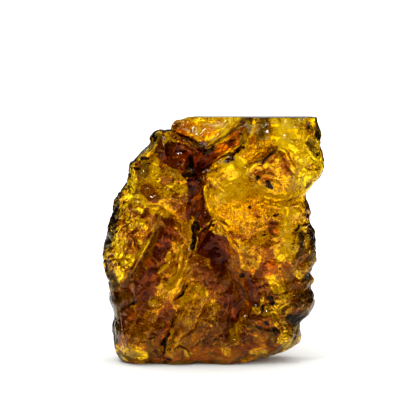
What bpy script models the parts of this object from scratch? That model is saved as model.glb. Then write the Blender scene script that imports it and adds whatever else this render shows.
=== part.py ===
"""Raw copal: one upright slab of amber-coloured tree resin, standing on its lower edge.

Sizes are millimetres until the last step, which turns them into metres. X runs across the slab,
Z up from its foot, and the front faces -Y. The slab starts as its outline, cut as a flat plate.
The plate is given its depth and its relief (swellings, hollows, ledges, furrows and pits), has
flakes broken off its rim, and is cut flat along its sawn top and its foot.
"""

import math
import random

import bmesh
import bpy
import numpy as np
from mathutils import Vector, noise

MM = 0.001

# Driving sizes
HEIGHT = 70.0  # foot to sawn top
FRONT_DEPTH = 11.0  # reach of the plain front from the middle plane
BACK_DEPTH = 10.0  # reach of the plain back
RIM_DEPTH = 7.2  # half the thickness along the rim
RIM_CURL = 3.2  # how far the rim curls in from the outline
RIM_BLEND = 9.0  # width of the strip that the curl draws in
SHOULDER = 13.0  # distance from the rim at which the full depth is reached
FOOT_SINK = 1.8  # how much of the rounded lower edge the flat foot takes off
SAW_CLEAR = 1.5  # how far the plate runs on above the sawn top

# The rough skin: grain size, height and seed of each layer of unevenness
SKIN = [(7.0, 1.0, 11), (2.8, 0.5, 5)]
WEDGE_CALM = 0.7  # share of the unevenness that the flat wedge face lacks

# Mesh sizes
PLATE_VOXEL = 0.9
SLAB_VOXEL = 0.65
TRIANGLES = 9000
CURVE_STEPS = 4
SHORTEST_EDGE = 0.05
LEVEL_WITHIN = 0.03

# The outline in the middle plane, clockwise from the left end of the sawn top
SAWN_TOP = [
    (-10.6, 68.6), (-8.8, 69.5), (-5.0, 70.0), (-3.0, HEIGHT + SAW_CLEAR),
    (27.0, HEIGHT + SAW_CLEAR), (28.6, 69.7), (29.6, 68.7),
]
RIGHT_SHOULDER = [
    (30.4, 67.0), (31.1, 65.6), (30.8, 63.6), (30.5, 62.2), (31.4, 58.0),
    (31.5, 55.2), (30.5, 52.7), (29.1, 51.4), (27.0, 49.4),
]
RIGHT_EDGE = [
    (26.6, 48.2), (26.1, 47.2), (27.3, 45.2), (27.8, 42.6), (27.5, 40.9), (27.0, 39.7),
    (28.5, 38.0), (29.3, 34.8), (29.6, 31.1), (29.2, 28.5), (27.9, 25.8), (29.0, 23.5),
    (27.7, 21.1), (29.0, 17.4), (28.1, 14.0), (26.6, 12.0), (24.7, 10.3), (25.4, 8.8),
]
RAISED_CORNER = [(25.2, 6.8), (24.6, 5.2), (22.4, 4.2), (19.4, 3.1), (16.6, 2.0), (14.2, 1.0)]
FOOT = [(10.4, -0.4), (5.0, -FOOT_SINK), (-20.6, -FOOT_SINK), (-24.6, -0.8)]
LEFT_CORNER = [(-26.9, 1.0), (-28.2, 3.4), (-28.6, 6.4), (-28.4, 12.0), (-28.4, 14.9)]
LEFT_EDGE = [
    (-29.3, 17.7), (-29.4, 20.4), (-30.3, 23.3), (-31.5, 26.5), (-31.8, 28.8), (-31.2, 32.5),
    (-30.3, 36.4), (-29.0, 40.9), (-27.8, 45.4), (-26.2, 49.4), (-24.7, 51.4),
]
LEFT_SHOULDER = [
    (-24.0, 53.2), (-23.6, 56.2), (-22.9, 57.2), (-21.5, 57.7), (-20.3, 59.2), (-18.5, 61.4),
    (-17.4, 62.2),
]
KNOB = [
    (-17.4, 64.2), (-16.9, 65.7), (-15.5, 66.6), (-13.6, 66.5), (-12.2, 65.5), (-11.6, 65.1),
    (-11.8, 66.9),
]
OUTLINE = (
    SAWN_TOP + RIGHT_SHOULDER + RIGHT_EDGE + RAISED_CORNER + FOOT + LEFT_CORNER + LEFT_EDGE
    + LEFT_SHOULDER + KNOB
)

# Swellings, and hollows with a negative height: (centre, radii, height, lean in degrees)
FRONT_SWELLINGS = {
    "clear lobe": ((12.0, 40.0), (16.0, 19.0), 2.4, 8.0),
    "left lobe": ((-21.0, 39.0), (9.0, 17.0), 1.6, -8.0),
    "knob": ((-14.4, 62.6), (3.6, 5.0), 3.0, 0.0),
    "lower knob": ((-22.0, 55.0), (2.6, 3.4), 1.4, 0.0),
    "shoulder": ((-17.5, 57.0), (2.4, 5.0), 1.4, -10.0),
    "upper right block": ((20.0, 63.0), (10.0, 9.0), 1.0, 0.0),
    "lower left corner": ((-22.0, 8.0), (7.0, 7.0), 1.6, 0.0),
    "right lump, top": ((25.8, 43.4), (2.6, 3.2), 1.4, 0.0),
    "right lump, oval": ((26.4, 35.0), (2.8, 5.4), 2.0, 0.0),
    "right lump, middle": ((26.2, 26.6), (2.8, 2.8), 1.5, 0.0),
    "right lump, round": ((25.2, 17.6), (4.0, 4.4), 2.0, 0.0),
    "right lump, low": ((20.6, 8.6), (4.4, 4.0), 1.8, 0.0),
    "low lump": ((14.0, 14.0), (5.0, 4.0), 1.1, 0.0),
    "left hollow, high": ((-14.0, 51.0), (3.4, 2.8), -1.1, 0.0),
    "left hollow, middle": ((-23.0, 33.0), (3.0, 5.0), -1.2, -12.0),
    "right hollow": ((20.0, 24.0), (5.0, 3.4), -1.4, 0.0),
}
BACK_SWELLINGS = {
    "broad scoop": ((6.0, 58.0), (17.0, 9.0), -2.8, 8.0),
    "left swell": ((-12.0, 32.0), (13.0, 19.0), 2.4, 10.0),
    "right swell": ((17.0, 30.0), (10.0, 15.0), 1.8, 0.0),
    "left foot swell": ((-21.0, 12.0), (7.0, 8.0), 1.2, 0.0),
    "foot hollow": ((-2.0, 14.0), (8.0, 7.0), -1.8, 0.0),
    "right foot swell": ((19.0, 12.0), (6.0, 6.0), 1.4, 0.0),
    "shoulder swell": ((-19.0, 56.0), (5.0, 5.0), 1.4, 0.0),
}

# Faces with sharp borders: (corners, rise, width of the border). A negative rise sets one back.
WEDGE_FACE = [
    (-16.0, 73.0), (-11.6, 66.0), (-7.7, 63.7), (-2.2, 61.0), (3.4, 64.6), (8.2, 69.4), (9.0, 73.0),
]
FRONT_PANELS = {
    "wedge face": (WEDGE_FACE, -5.2, 0.9),
    "dark hollow": (
        [
            (-13.0, 62.4), (-9.1, 63.0), (-3.9, 60.4), (0.6, 61.4), (5.2, 64.0), (8.6, 66.6),
            (9.6, 63.6), (6.2, 60.0), (0.6, 56.6), (-2.2, 54.4), (-6.4, 53.5), (-11.4, 55.2),
        ],
        -3.4, 1.0,
    ),
    "brown facet": (
        [(-0.4, 40.4), (3.7, 38.2), (5.8, 31.0), (1.6, 27.4), (-3.6, 31.6), (-2.6, 36.6)], -1.2, 0.7,
    ),
    "resin tongue": (
        [
            (-9.2, 16.8), (-11.6, 9.6), (-13.4, 3.0), (-9.0, 3.2), (-4.0, 13.0), (-1.4, 19.2),
            (-4.6, 23.4),
        ],
        1.3, 0.7,
    ),
}

# Ledges, which step up to the right of their path's direction: (path, rise, fade)
FRONT_LEDGES = {
    "glossy ridge": ([(-6.4, 53.2), (-2.2, 54.3), (0.6, 56.5), (3.4, 58.5), (6.6, 60.2)], 2.6, 10.0),
    "roof, left slope": ([(8.2, 54.6), (11.0, 57.2), (14.0, 59.4), (17.8, 61.4)], 2.1, 7.0),
    "roof, right slope": ([(17.8, 61.4), (20.6, 57.6), (23.6, 52.6)], 1.7, 6.0),
    "lobe's upper fold": ([(25.0, 47.6), (20.1, 46.9), (13.8, 48.0)], -1.1, 6.0),
}
BACK_LEDGES = {
    "fold across": ([(-24.0, 46.0), (-10.0, 50.0), (4.0, 47.0), (18.0, 52.0), (30.0, 50.0)], 2.4, 12.0),
}

# Furrows, and ridges with a negative depth: (path, width, depth, share of it that tapers)
FRONT_FURROWS = {
    "channel": ([(-1.6, 54.2), (-2.2, 51.0), (-2.7, 47.7), (-1.8, 44.0), (-2.6, 40.7)], 6.0, 4.6, 0.25),
    "cavity": ([(-4.6, 42.8), (-5.0, 39.0), (-5.0, 35.6), (-4.6, 32.0)], 4.6, 6.6, 0.4),
    "cavity's branch": ([(-0.2, 41.0), (-2.6, 37.4), (-4.4, 33.2)], 2.8, 2.6, 0.25),
    "left band": (
        [(-14.6, 44.0), (-17.6, 37.0), (-21.2, 29.4), (-24.6, 22.9), (-28.6, 16.6)], 7.0, 2.8, 0.25,
    ),
    "centre band": (
        [(3.6, 31.6), (5.4, 27.6), (7.2, 23.4), (8.6, 18.7), (6.6, 13.6), (3.7, 7.0)], 6.6, 2.4, 0.25,
    ),
    "flow ridge": ([(-7.2, 36.0), (-7.6, 29.0), (-9.4, 23.4), (-14.0, 18.4)], 5.0, -2.2, 0.25),
    "slit": ([(-6.8, 24.4), (-8.6, 21.6), (-10.4, 18.8)], 2.0, 2.0, 0.25),
    "left crack": ([(-9.6, 17.2), (-10.8, 12.4), (-12.0, 8.6), (-14.2, 1.6)], 2.6, 3.0, 0.25),
    "right crack": ([(-1.6, 19.3), (-4.2, 13.8), (-6.6, 9.6), (-9.8, 6.6)], 2.0, 1.8, 0.25),
    "corner crack": ([(-27.4, 12.6), (-24.4, 16.4), (-21.0, 19.0)], 2.2, 2.4, 0.25),
    "long crack": ([(8.0, 56.0), (10.3, 58.2), (13.1, 60.2), (16.8, 62.8)], 2.0, 2.6, 0.25),
}
BACK_FURROWS = {
    "groove": ([(14.0, 46.0), (8.0, 34.0), (10.0, 22.0), (4.0, 8.0)], 6.0, 2.2, 0.25),
    "left crack": ([(-20.0, 40.0), (-14.0, 30.0), (-15.0, 18.0)], 2.0, 1.8, 0.25),
    "right crack": ([(26.0, 34.0), (20.0, 28.0), (19.0, 16.0)], 2.0, 1.8, 0.25),
    "top crack": ([(-4.0, 68.0), (0.0, 60.0), (-3.0, 52.0)], 2.0, 1.6, 0.25),
}

# Small round pits over each face
PIT_AREA = ((-28.0, 6.0), (28.0, 66.0))
PIT_RADIUS = (1.0, 1.9)
PIT_DEPTH = 0.45  # of its radius
FRONT_PITS = {"seed": 3, "count": 30}
BACK_PITS = {"seed": 8, "count": 34}

# Flakes broken off the rim: a point on each broken face, and the way the face looks
FLAKES = [
    ((-28.6, -4.6, 42.0), (-0.80, -0.60, 0.10)),
    ((29.0, -5.4, 60.0), (0.72, -0.68, 0.12)),
    ((-27.4, 5.6, 22.0), (-0.70, 0.70, -0.14)),
    ((-21.0, 6.0, 56.0), (-0.50, 0.70, 0.50)),
    ((27.6, 5.8, 22.0), (0.70, 0.68, -0.20)),
    ((27.0, 6.8, 62.0), (0.45, 0.88, 0.10)),
]
FLAKE_BITE = 0.92  # share of what stands past a broken face that is gone


def smooth_step(t):
    t = np.clip(t, 0.0, 1.0)
    return t * t * (3.0 - 2.0 * t)


def curve_through(points):
    """A closed Catmull-Rom curve through the points."""
    knots = [np.array(point, float) for point in points]
    count = len(knots)
    curve = []
    for i in range(count):
        before, start = knots[i - 1], knots[i]
        end, after = knots[(i + 1) % count], knots[(i + 2) % count]
        for step in range(CURVE_STEPS):
            t = step / CURVE_STEPS
            bend = 2.0 * before - 5.0 * start + 4.0 * end - after
            twist = 3.0 * (start - end) + after - before
            curve.append(0.5 * (2.0 * start + (end - before) * t + bend * t * t + twist * t**3))
    return curve


def nearest_on_path(places, path):
    """For each place: distance to the path, how far along it that is, and the path's right there."""
    reach = np.full(len(places), np.inf)
    along = np.zeros(len(places))
    right = np.zeros_like(places)
    offsets = np.zeros_like(places)
    ends = [np.array(point, float) for point in path]
    pieces = len(ends) - 1
    for i in range(pieces):
        start, run = ends[i], ends[i + 1] - ends[i]
        t = np.clip((places - start) @ run / (run @ run), 0.0, 1.0)
        offset = places - start - t[:, None] * run
        distance = np.hypot(offset[:, 0], offset[:, 1])
        closer = distance < reach
        reach[closer] = distance[closer]
        along[closer] = (i + t[closer]) / pieces
        right[closer] = np.array([run[1], -run[0]]) / np.hypot(*run)
        offsets[closer] = offset[closer]
    side = np.where((offsets * right).sum(axis=1) >= 0.0, 1.0, -1.0)
    return reach, along, side, right


def inside(places, corners):
    """True for each place within the corners."""
    found = np.zeros(len(places), bool)
    for start, end in zip(corners, corners[1:] + corners[:1]):
        spans = (start[1] > places[:, 1]) != (end[1] > places[:, 1])
        rise = (end[1] - start[1]) or 1.0
        crossing = start[0] + (places[:, 1] - start[1]) * (end[0] - start[0]) / rise
        found ^= spans & (places[:, 0] < crossing)
    return found


def swelling(places, centre, radii, height, lean):
    """A smooth oval rise."""
    angle = math.radians(lean)
    from_centre = places - np.array(centre)
    u = (from_centre[:, 0] * math.cos(angle) + from_centre[:, 1] * math.sin(angle)) / radii[0]
    v = (from_centre[:, 1] * math.cos(angle) - from_centre[:, 0] * math.sin(angle)) / radii[1]
    return height * np.clip(1.0 - u * u - v * v, 0.0, 1.0) ** 1.5


def panel(places, corners, rise, border):
    """An even rise within the corners."""
    reach, _, _, _ = nearest_on_path(places, corners + corners[:1])
    depth_in = np.where(inside(places, corners), reach, -reach)
    return rise * smooth_step((depth_in + border) / (2.0 * border))


def ledge(places, path, rise, fade):
    """A sharp step up to the right of a path, which falls away again over the fade."""
    reach, along, side, _ = nearest_on_path(places, path)
    ends = smooth_step(along / 0.2) * smooth_step((1.0 - along) / 0.2)
    signed = reach * side
    return rise * ends * smooth_step((signed + 0.6) / 1.2) * smooth_step(1.0 - signed / fade)


def furrow(places, path, width, depth, taper):
    """A furrow along a path, shallower towards both ends."""
    reach, along, _, _ = nearest_on_path(places, path)
    ends = smooth_step(along / taper) * smooth_step((1.0 - along) / taper)
    return -depth * smooth_step(1.0 - 2.0 * reach / width) * (0.25 + 0.75 * ends)


def pits(places, seed, count):
    draw = random.Random(seed)
    relief = np.zeros(len(places))
    for _ in range(count):
        centre = [draw.uniform(low, high) for low, high in zip(*PIT_AREA)]
        radius = draw.uniform(*PIT_RADIUS)
        relief += swelling(places, centre, (radius, 1.2 * radius), -PIT_DEPTH * radius, 0.0)
    return relief


def front_relief(places):
    """How far the front stands out from its plain swell."""
    relief = pits(places, **FRONT_PITS)
    relief += sum(swelling(places, *form) for form in FRONT_SWELLINGS.values())
    relief += sum(panel(places, *form) for form in FRONT_PANELS.values())
    relief += sum(ledge(places, *form) for form in FRONT_LEDGES.values())
    relief += sum(furrow(places, *form) for form in FRONT_FURROWS.values())
    return relief


def back_relief(places):
    """How far the back stands out from its plain swell."""
    relief = pits(places, **BACK_PITS)
    relief += sum(swelling(places, *form) for form in BACK_SWELLINGS.values())
    relief += sum(ledge(places, *form) for form in BACK_LEDGES.values())
    relief += sum(furrow(places, *form) for form in BACK_FURROWS.values())
    return relief


def plate():
    """The outline as a flat closed plate, as thick as the rim."""
    bm = bmesh.new()
    ring = [bm.verts.new((x, -RIM_DEPTH, z)) for x, z in curve_through(OUTLINE)]
    face = bm.faces.new(ring)
    raised = bmesh.ops.extrude_face_region(bm, geom=[face])
    moved = [item for item in raised["geom"] if isinstance(item, bmesh.types.BMVert)]
    bmesh.ops.translate(bm, verts=moved, vec=Vector((0.0, 2.0 * RIM_DEPTH, 0.0)))
    bmesh.ops.triangulate(bm, faces=bm.faces)
    bmesh.ops.recalc_face_normals(bm, faces=bm.faces)
    mesh = bpy.data.meshes.new("plate")
    bm.to_mesh(mesh)
    bm.free()
    return mesh


def modified(mesh, kind, **settings):
    """The mesh as one modifier leaves it."""
    stand_in = bpy.data.objects.new("stand_in", mesh)
    bpy.context.collection.objects.link(stand_in)
    modifier = stand_in.modifiers.new(kind, kind)
    for name, value in settings.items():
        setattr(modifier, name, value)
    depsgraph = bpy.context.evaluated_depsgraph_get()
    result = bpy.data.meshes.new_from_object(stand_in.evaluated_get(depsgraph))
    bpy.data.objects.remove(stand_in)
    return result


def remeshed(mesh, voxel):
    """The mesh rebuilt in even quads, which also heals its folds."""
    return modified(mesh, "REMESH", mode="VOXEL", voxel_size=voxel)


def thinned(mesh):
    """The mesh in fewer triangles, kept where the surface bends most."""
    count = sum(len(face.vertices) - 2 for face in mesh.polygons)
    return modified(mesh, "DECIMATE", ratio=TRIANGLES / count, use_collapse_triangulate=True)


def points_of(mesh):
    flat = np.empty(3 * len(mesh.vertices))
    mesh.vertices.foreach_get("co", flat)
    return flat.reshape(-1, 3)


def place_points(mesh, points):
    mesh.vertices.foreach_set("co", points.ravel())
    mesh.update()


def give_depth(mesh):
    """Turns the plate into the slab: a curled rim, and swelling faces with their relief."""
    points = points_of(mesh)
    through = np.clip(points[:, 1] / RIM_DEPTH, -1.0, 1.0)
    places = points[:, [0, 2]]
    curve = curve_through(OUTLINE)
    reach, _, _, inward = nearest_on_path(places, curve + curve[:1])
    curl = RIM_CURL * (1.0 - np.sqrt(1.0 - 0.99 * through**2))
    places = places + inward * (curl * np.clip(1.0 - reach / RIM_BLEND, 0.0, 1.0) ** 2)[:, None]
    swell = 1.0 - (1.0 - np.clip(reach / SHOULDER, 0.0, 1.0)) ** 2
    front = RIM_DEPTH + (FRONT_DEPTH - RIM_DEPTH) * swell + front_relief(places)
    back = RIM_DEPTH + (BACK_DEPTH - RIM_DEPTH) * swell + back_relief(places)
    points[:, 0] = places[:, 0]
    points[:, 1] = through * np.where(through < 0.0, front, back)
    points[:, 2] = places[:, 1]
    place_points(mesh, points)


def break_flake(mesh, place, facing):
    """Flattens what stands past the broken face."""
    points = points_of(mesh)
    normal = np.array(facing)
    normal /= np.linalg.norm(normal)
    past = np.clip((points - np.array(place)) @ normal, 0.0, None)
    place_points(mesh, points - FLAKE_BITE * past[:, None] * normal)


def roughen(mesh, grain, height, seed):
    """Uneven lumps of one size, pushed out and in along the surface."""
    points = points_of(mesh)
    in_wedge = panel(points[:, [0, 2]], WEDGE_FACE, WEDGE_CALM, 1.0) * (points[:, 1] < 0.0)
    heights = height * (1.0 - in_wedge)
    shift = Vector((seed, 2.0 * seed, 3.0 * seed))
    normals = [vertex.normal.copy() for vertex in mesh.vertices]
    for vertex, normal, tall in zip(mesh.vertices, normals, heights):
        vertex.co += normal * (tall * noise.noise(vertex.co / grain + shift))
    mesh.update()


def cut_flat(mesh, height, outward):
    """Cuts off what is past a level plane, upwards for 1 and downwards for -1."""
    bm = bmesh.new()
    bm.from_mesh(mesh)
    bmesh.ops.bisect_plane(
        bm, geom=bm.verts[:] + bm.edges[:] + bm.faces[:], plane_co=(0.0, 0.0, height),
        plane_no=(0.0, 0.0, outward), clear_outer=True,
    )
    bmesh.ops.holes_fill(bm, edges=[edge for edge in bm.edges if edge.is_boundary])
    bmesh.ops.dissolve_degenerate(bm, dist=SHORTEST_EDGE, edges=bm.edges)
    bmesh.ops.triangulate(bm, faces=[face for face in bm.faces if len(face.verts) > 4])
    bm.to_mesh(mesh)
    bm.free()


def level(mesh, height):
    """Puts the points of a level cut back exactly on it."""
    points = points_of(mesh)
    points[np.abs(points[:, 2] - height) < LEVEL_WITHIN, 2] = height
    place_points(mesh, points)


def stand_at_origin(mesh):
    """Centres the slab over the origin and turns its millimetres into metres."""
    points = points_of(mesh)
    middle = 0.5 * (points.min(axis=0) + points.max(axis=0))
    place_points(mesh, (points - np.array([middle[0], middle[1], 0.0])) * MM)


def resin():
    """Clear golden resin."""
    material = bpy.data.materials.new("copal_resin")
    material.use_nodes = True
    shader = material.node_tree.nodes["Principled BSDF"]
    shader.inputs["Base Color"].default_value = (0.72, 0.36, 0.03, 1.0)
    shader.inputs["Roughness"].default_value = 0.15
    shader.inputs["Metallic"].default_value = 0.0
    shader.inputs["IOR"].default_value = 1.54
    shader.inputs["Transmission Weight"].default_value = 0.9
    return material


def copal():
    mesh = remeshed(plate(), PLATE_VOXEL)
    give_depth(mesh)
    mesh = remeshed(mesh, SLAB_VOXEL)
    for place, facing in FLAKES:
        break_flake(mesh, place, facing)
    for grain, height, seed in SKIN:
        roughen(mesh, grain, height, seed)
    mesh = remeshed(mesh, SLAB_VOXEL)
    cut_flat(mesh, 0.0, -1.0)
    cut_flat(mesh, HEIGHT, 1.0)
    mesh = thinned(mesh)
    level(mesh, 0.0)
    level(mesh, HEIGHT)
    stand_at_origin(mesh)
    mesh.name = "copal"
    mesh.materials.append(resin())
    slab = bpy.data.objects.new("copal", mesh)
    bpy.context.collection.objects.link(slab)


for old in list(bpy.data.objects):
    bpy.data.objects.remove(old)
copal()
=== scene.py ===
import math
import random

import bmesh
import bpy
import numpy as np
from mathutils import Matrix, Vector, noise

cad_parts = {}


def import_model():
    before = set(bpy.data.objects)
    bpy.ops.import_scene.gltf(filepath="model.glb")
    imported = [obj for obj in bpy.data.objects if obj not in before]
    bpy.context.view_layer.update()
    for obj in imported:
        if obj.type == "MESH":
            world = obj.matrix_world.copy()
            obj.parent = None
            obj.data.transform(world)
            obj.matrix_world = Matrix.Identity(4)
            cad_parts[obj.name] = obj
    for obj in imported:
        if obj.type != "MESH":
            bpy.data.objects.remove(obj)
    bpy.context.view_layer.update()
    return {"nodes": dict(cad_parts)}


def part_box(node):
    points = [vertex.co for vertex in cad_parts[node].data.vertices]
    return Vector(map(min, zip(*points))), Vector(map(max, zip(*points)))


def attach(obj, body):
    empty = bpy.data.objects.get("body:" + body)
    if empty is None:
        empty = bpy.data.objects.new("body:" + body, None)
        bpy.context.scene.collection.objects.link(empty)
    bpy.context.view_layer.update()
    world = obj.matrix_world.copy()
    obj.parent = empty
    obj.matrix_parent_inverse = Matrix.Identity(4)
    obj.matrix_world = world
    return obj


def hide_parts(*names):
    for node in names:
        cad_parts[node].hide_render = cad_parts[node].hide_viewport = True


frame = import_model()

# Raw copal: the looks of one upright slab of golden tree resin, clouded with brown smoke.
#
# Sizes are millimetres in the frame's own axes until a mesh is finished: X runs across the slab,
# Z up from its foot, and the front faces -Y. The slab's surface is the imported solid's, rebuilt in
# fine even faces, with its back evened out. Its folds, cracks and grain are carved along the
# surface, and its smoke, soot and clear places are painted on it as attributes, which the resin's
# material reads; among them are painted shade in its hollows and along its foot, and painted
# highlights along a few ridges. The lights, the floor and the camera are in metres.

MM = 0.001
NODE = "copal"
BODY = "root"

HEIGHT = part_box(NODE)[1].z / MM

# The surface's mesh
VOXEL = 0.27
MERGE = 0.002
SMOOTHINGS = 2
TRIANGLES = 195000
FRONT_DEPTH = 12.0  # depth over which the front's marks give way to the back's
FRONT_TURN = 0.6  # how much the way a face turns counts for that as well
LEVEL_ROOM = 1.5  # relief fades out this near the foot and the sawn top
LEVEL_RELIEF = 0.15  # share of it that stays there

# The back, evened out so that its folds don't show through the slab as lines
BACK_RELIEF = 0.2  # share of the relief on the back
BACK_CELL = 0.5  # grid on which the back is evened out
BACK_BLUR = 3.0  # reach over which it is evened out
BACK_SMOOTHINGS = 6  # rounds that then soften its edge
BACK_MOVED = 0.02  # and they take in what moved by more than this share
FACE_TURN = 0.75  # a face's depth is taken where the surface is turned its way by at least this
RIM_TURN = 0.1  # and given to what is turned its way by more than this,
RIM_REACH = 0.3  # in full to what is turned by this much more
FOOT_ROOM = 3.0  # height over which that comes in above the foot
BELL_REACH = 3.0  # the blur's bell is cut off at this many times BACK_BLUR
TINY = 1e-9  # keeps an empty place from dividing by zero

# Light passing through the resin
IOR = 1.54
RESIN_DENSITY = 240.0
RESIN_TINT = (0.905, 0.83, 0.1)
SHINE_TINT = (0.5, 0.5, 0.5)

# Where the front is carried out to the rim as well: (path, width, share)
THIN_RIMS = [
    ([(-14, 66), (-17.6, 63.6), (-21.4, 60), (-24.4, 56), (-25, 51), (-28, 46)], 9, 1),
    ([(30.6, 66), (31, 58), (28, 52)], 6, 0.7),
]

# Surface grain: (grain size, height, seed)
GRAIN = [(5.0, 0.5, 4), (1.3, 0.18, 14), (0.9, 0.08, 24)]

# Rounded lumps with creases between them: (lump size, height, seed)
LUMPS = [(4.2, 0.6, 7), (2.0, 0.3, 8)]
CREASE_WIDTH = 0.35  # share of a lump's size over which its side rises
LUMP_BEND = 0.35  # how far lumps are bent out of their rows
LUMP_BEND_GRAIN = 1.3
LUMP_BEND_SEED = 5  # without one, noise_vector would follow the clock

# Painted shade: brown darkening in what lies lower than its surroundings
HOLLOW_SHADE_SMOOTHINGS = 14
HOLLOW_SHADE_DEPTH = 0.25

# How lively the grain is: plain, and where it is livelier or calmer: (path, width, change)
PLAIN_GRAIN = 0.3
LIVELY_LIMITS = (0.15, 1.5)
LIVELINESS = [
    ([(-22, 52), (-25, 42), (-27, 32), (-26, 24)], 16, 0.9),
    ([(22, 68), (26, 58), (24, 52)], 14, 0.6),
    ([(16, 22), (18, 12), (22, 8)], 16, 0.9),
    ([(26, 44), (27, 20)], 12, 0.7),
    ([(-16, 57), (-10, 52), (-12, 46)], 8, 0.4),
    ([(-13, 33), (-8, 36), (-7, 28)], 8, 0.3),
    ([(12, 62), (15, 54), (16, 42), (13, 36)], 10, 0.3),
    ([(2, 57), (7, 55), (6, 49)], 9, -0.2),
    ([(-4, 22), (-7, 12), (-9, 6)], 12, -0.15),
]

# Where fine streaks run up the slab: (path, width, strength)
STREAK_TURN = 25.0  # degrees from upright, leaning to the right
STREAK_STRETCH = (1.0, 0.6, 0.16)
STREAKS = [
    ([(-2, 26), (-7, 14), (-10, 4)], 18, 1),
    ([(2, 18), (2, 4)], 14, 0.8),
    ([(-14, 40), (-19, 30), (-25, 18)], 12, 0.8),
    ([(-10, 36), (-9, 26)], 8, 0.8),
    ([(9, 68), (14, 68)], 12, 0.6),
    ([(-4.6, 52), (-2, 42)], 7, 0.7),
]

# Wander of every painted or carved line: (grain size, reach, seed)
WANDER = [(5.0, 0.4, 21), (1.6, 0.35, 31)]

# Lines in the front: (path, width, height), with a negative height for a crack
LINE_ENDS = 0.2  # share of a line over which it rises at each end
END_HEIGHT = 0.2  # share of its height that it starts from there
FRONT_LINES = {
    "crack under the hollow": ([(-8.6, 53.4), (-6.4, 54.1), (-4.2, 54.2), (-2.9, 53.7)], 1.4, -1.8),
    "long crack": ([(9, 57), (11.6, 58.4), (13.4, 60), (15.2, 61.4), (16.6, 62.4)], 1.1, -1.4),
    "slit": ([(-6.8, 24.3), (-8.2, 22), (-9.8, 19.6)], 1, -1.2),
    "left crack": (
        [(-9.9, 16.7), (-10.8, 13.6), (-11.6, 11.3), (-13.1, 8.1), (-14.5, 5.8), (-14.2, 2.4)], 1.1, -1.3,
    ),
    "right crack": ([(-1.2, 19), (-2.9, 16), (-5.3, 10.4), (-9.5, 7.8)], 0.9, -0.9),
    "corner crack": ([(-26.4, 15.6), (-24.2, 17), (-21.5, 18.5)], 1, -1),
    "cavity's branch": ([(1.4, 41), (-1.4, 38.2), (-3.4, 35.6), (-4.4, 32.4)], 1, -1.2),
    "lobe's line": ([(13.7, 48), (17.3, 47.2), (21.5, 47.4), (25, 48)], 0.9, -0.8),
    "lobe's lower line": ([(14.5, 46), (19.3, 45.2), (24.3, 45.2)], 0.8, 0.6),
    "glossy ridge": (
        [(-14.5, 66), (-11.9, 65.3), (-10.2, 64.1), (-8.6, 63.3), (-6.9, 62.5), (-4.4, 60.6)], 1.8, 1,
    ),
    "ridge under the hollow": (
        [(-4.7, 53.4), (-2.7, 53.4), (-1.1, 55.5), (0.6, 56.9), (2.8, 58), (6.2, 60)], 1.8, 1.1,
    ),
    "knob's side": ([(-14.6, 66.8), (-16.2, 66), (-16.9, 64.6), (-17.2, 62.6)], 3.4, 0.8),
    "wedge's end": ([(-9.6, 69.6), (-10.8, 68.8), (-11.2, 67.6), (-11.2, 66.4)], 3, 0.9),
    "roof, left": ([(8.9, 54.8), (11.2, 56.4), (13.6, 57.8), (16, 59.6), (18.6, 61.8)], 1.7, 1),
    "roof, right": ([(18.6, 61.8), (20.2, 60.6), (21, 58), (23, 54.5)], 1.4, 0.7),
    "gold ridge": (
        [(-6.3, 41.7), (-6.4, 37.1), (-6.6, 32.9), (-7.4, 29.5), (-8.6, 25.8), (-10.2, 23.3)], 1.7, 1.2,
    ),
    "gold line": ([(1, 41.6), (-0.5, 40.4), (-2.2, 38.7), (-4.1, 36.9), (-4.7, 34.8)], 0.9, 0.8),
    "band's bright edge": ([(-14.6, 44.5), (-16.6, 39.6), (-19.4, 33.4), (-23.6, 24.8)], 1.8, 0.9),
    "band's low edge": ([(-21.5, 18.2), (-20.8, 20.6), (-19.4, 21.9), (-17.6, 23.2)], 0.9, 0.5),
    "upper loop": ([(-14.2, 31.7), (-13.1, 33.1), (-11.7, 32.9), (-12, 30.6), (-12.5, 28.9)], 1.1, 0.6),
    "right loop": ([(-11.4, 34), (-9.7, 34), (-8.6, 32.3), (-9.2, 29.5), (-10.3, 27.2)], 1.1, 0.6),
    "low loop": ([(-15.3, 26.7), (-13.7, 27.8), (-12, 29.5)], 1, 0.5),
    "slit's lip": ([(-6.7, 25.2), (-8.1, 23.6), (-9.8, 21.2)], 0.9, 0.5),
    "lobe's edge": (
        [(-0.8, 53.4), (-1, 50), (-0.6, 46), (1.4, 42.2), (4, 39.4), (6.6, 34), (8, 29)], 1.6, 0.3,
    ),
    "slope's curl": ([(2.6, 50.8), (5.3, 52.4), (8.7, 52.7), (10.6, 51.6)], 0.9, 0.2),
    "slope's short curl": ([(1, 52.2), (2.4, 51), (3.4, 49.6)], 0.8, 0.15),
    "cloud's fold": ([(12.4, 62.8), (14, 62), (16.4, 62.8), (17.4, 64)], 1, 0.6),
    "cloud's low fold": ([(11.6, 61), (13.6, 60.6), (15.8, 61.6)], 0.9, 0.5),
    "left curl": ([(-23.7, 37.9), (-22.3, 36.8), (-21.2, 35.1), (-20.9, 32.9)], 1.2, -0.9),
    "low left curl": ([(-25.1, 33.1), (-24.6, 31), (-23, 30)], 1.2, -0.9),
    "tongue's foot": ([(-12, 3.6), (-9.2, 6), (-7.6, 4.4), (-6.4, 2.6)], 1, 0.6),
    "oval's rim": ([(22.6, 33), (23, 36.4), (24.6, 39.2), (27, 39.6)], 1.2, 0.8),
}

# Grooves pressed straight back into the front: (path, width, depth), and a swell with a negative depth
FRONT_GROOVES = {
    "above the glossy ridge": ([(-12, 67), (-9.6, 65.7), (-6.4, 64), (-3, 62.2)], 2.6, 1.3),
    "inside the hollow": ([(-3.8, 55), (-1.8, 57), (1.4, 58.9), (5.2, 61)], 2.4, 0.9),
    "under the sawn top": ([(9, 71), (14, 71.4), (20, 71)], 9, -2.2),
}

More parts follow.
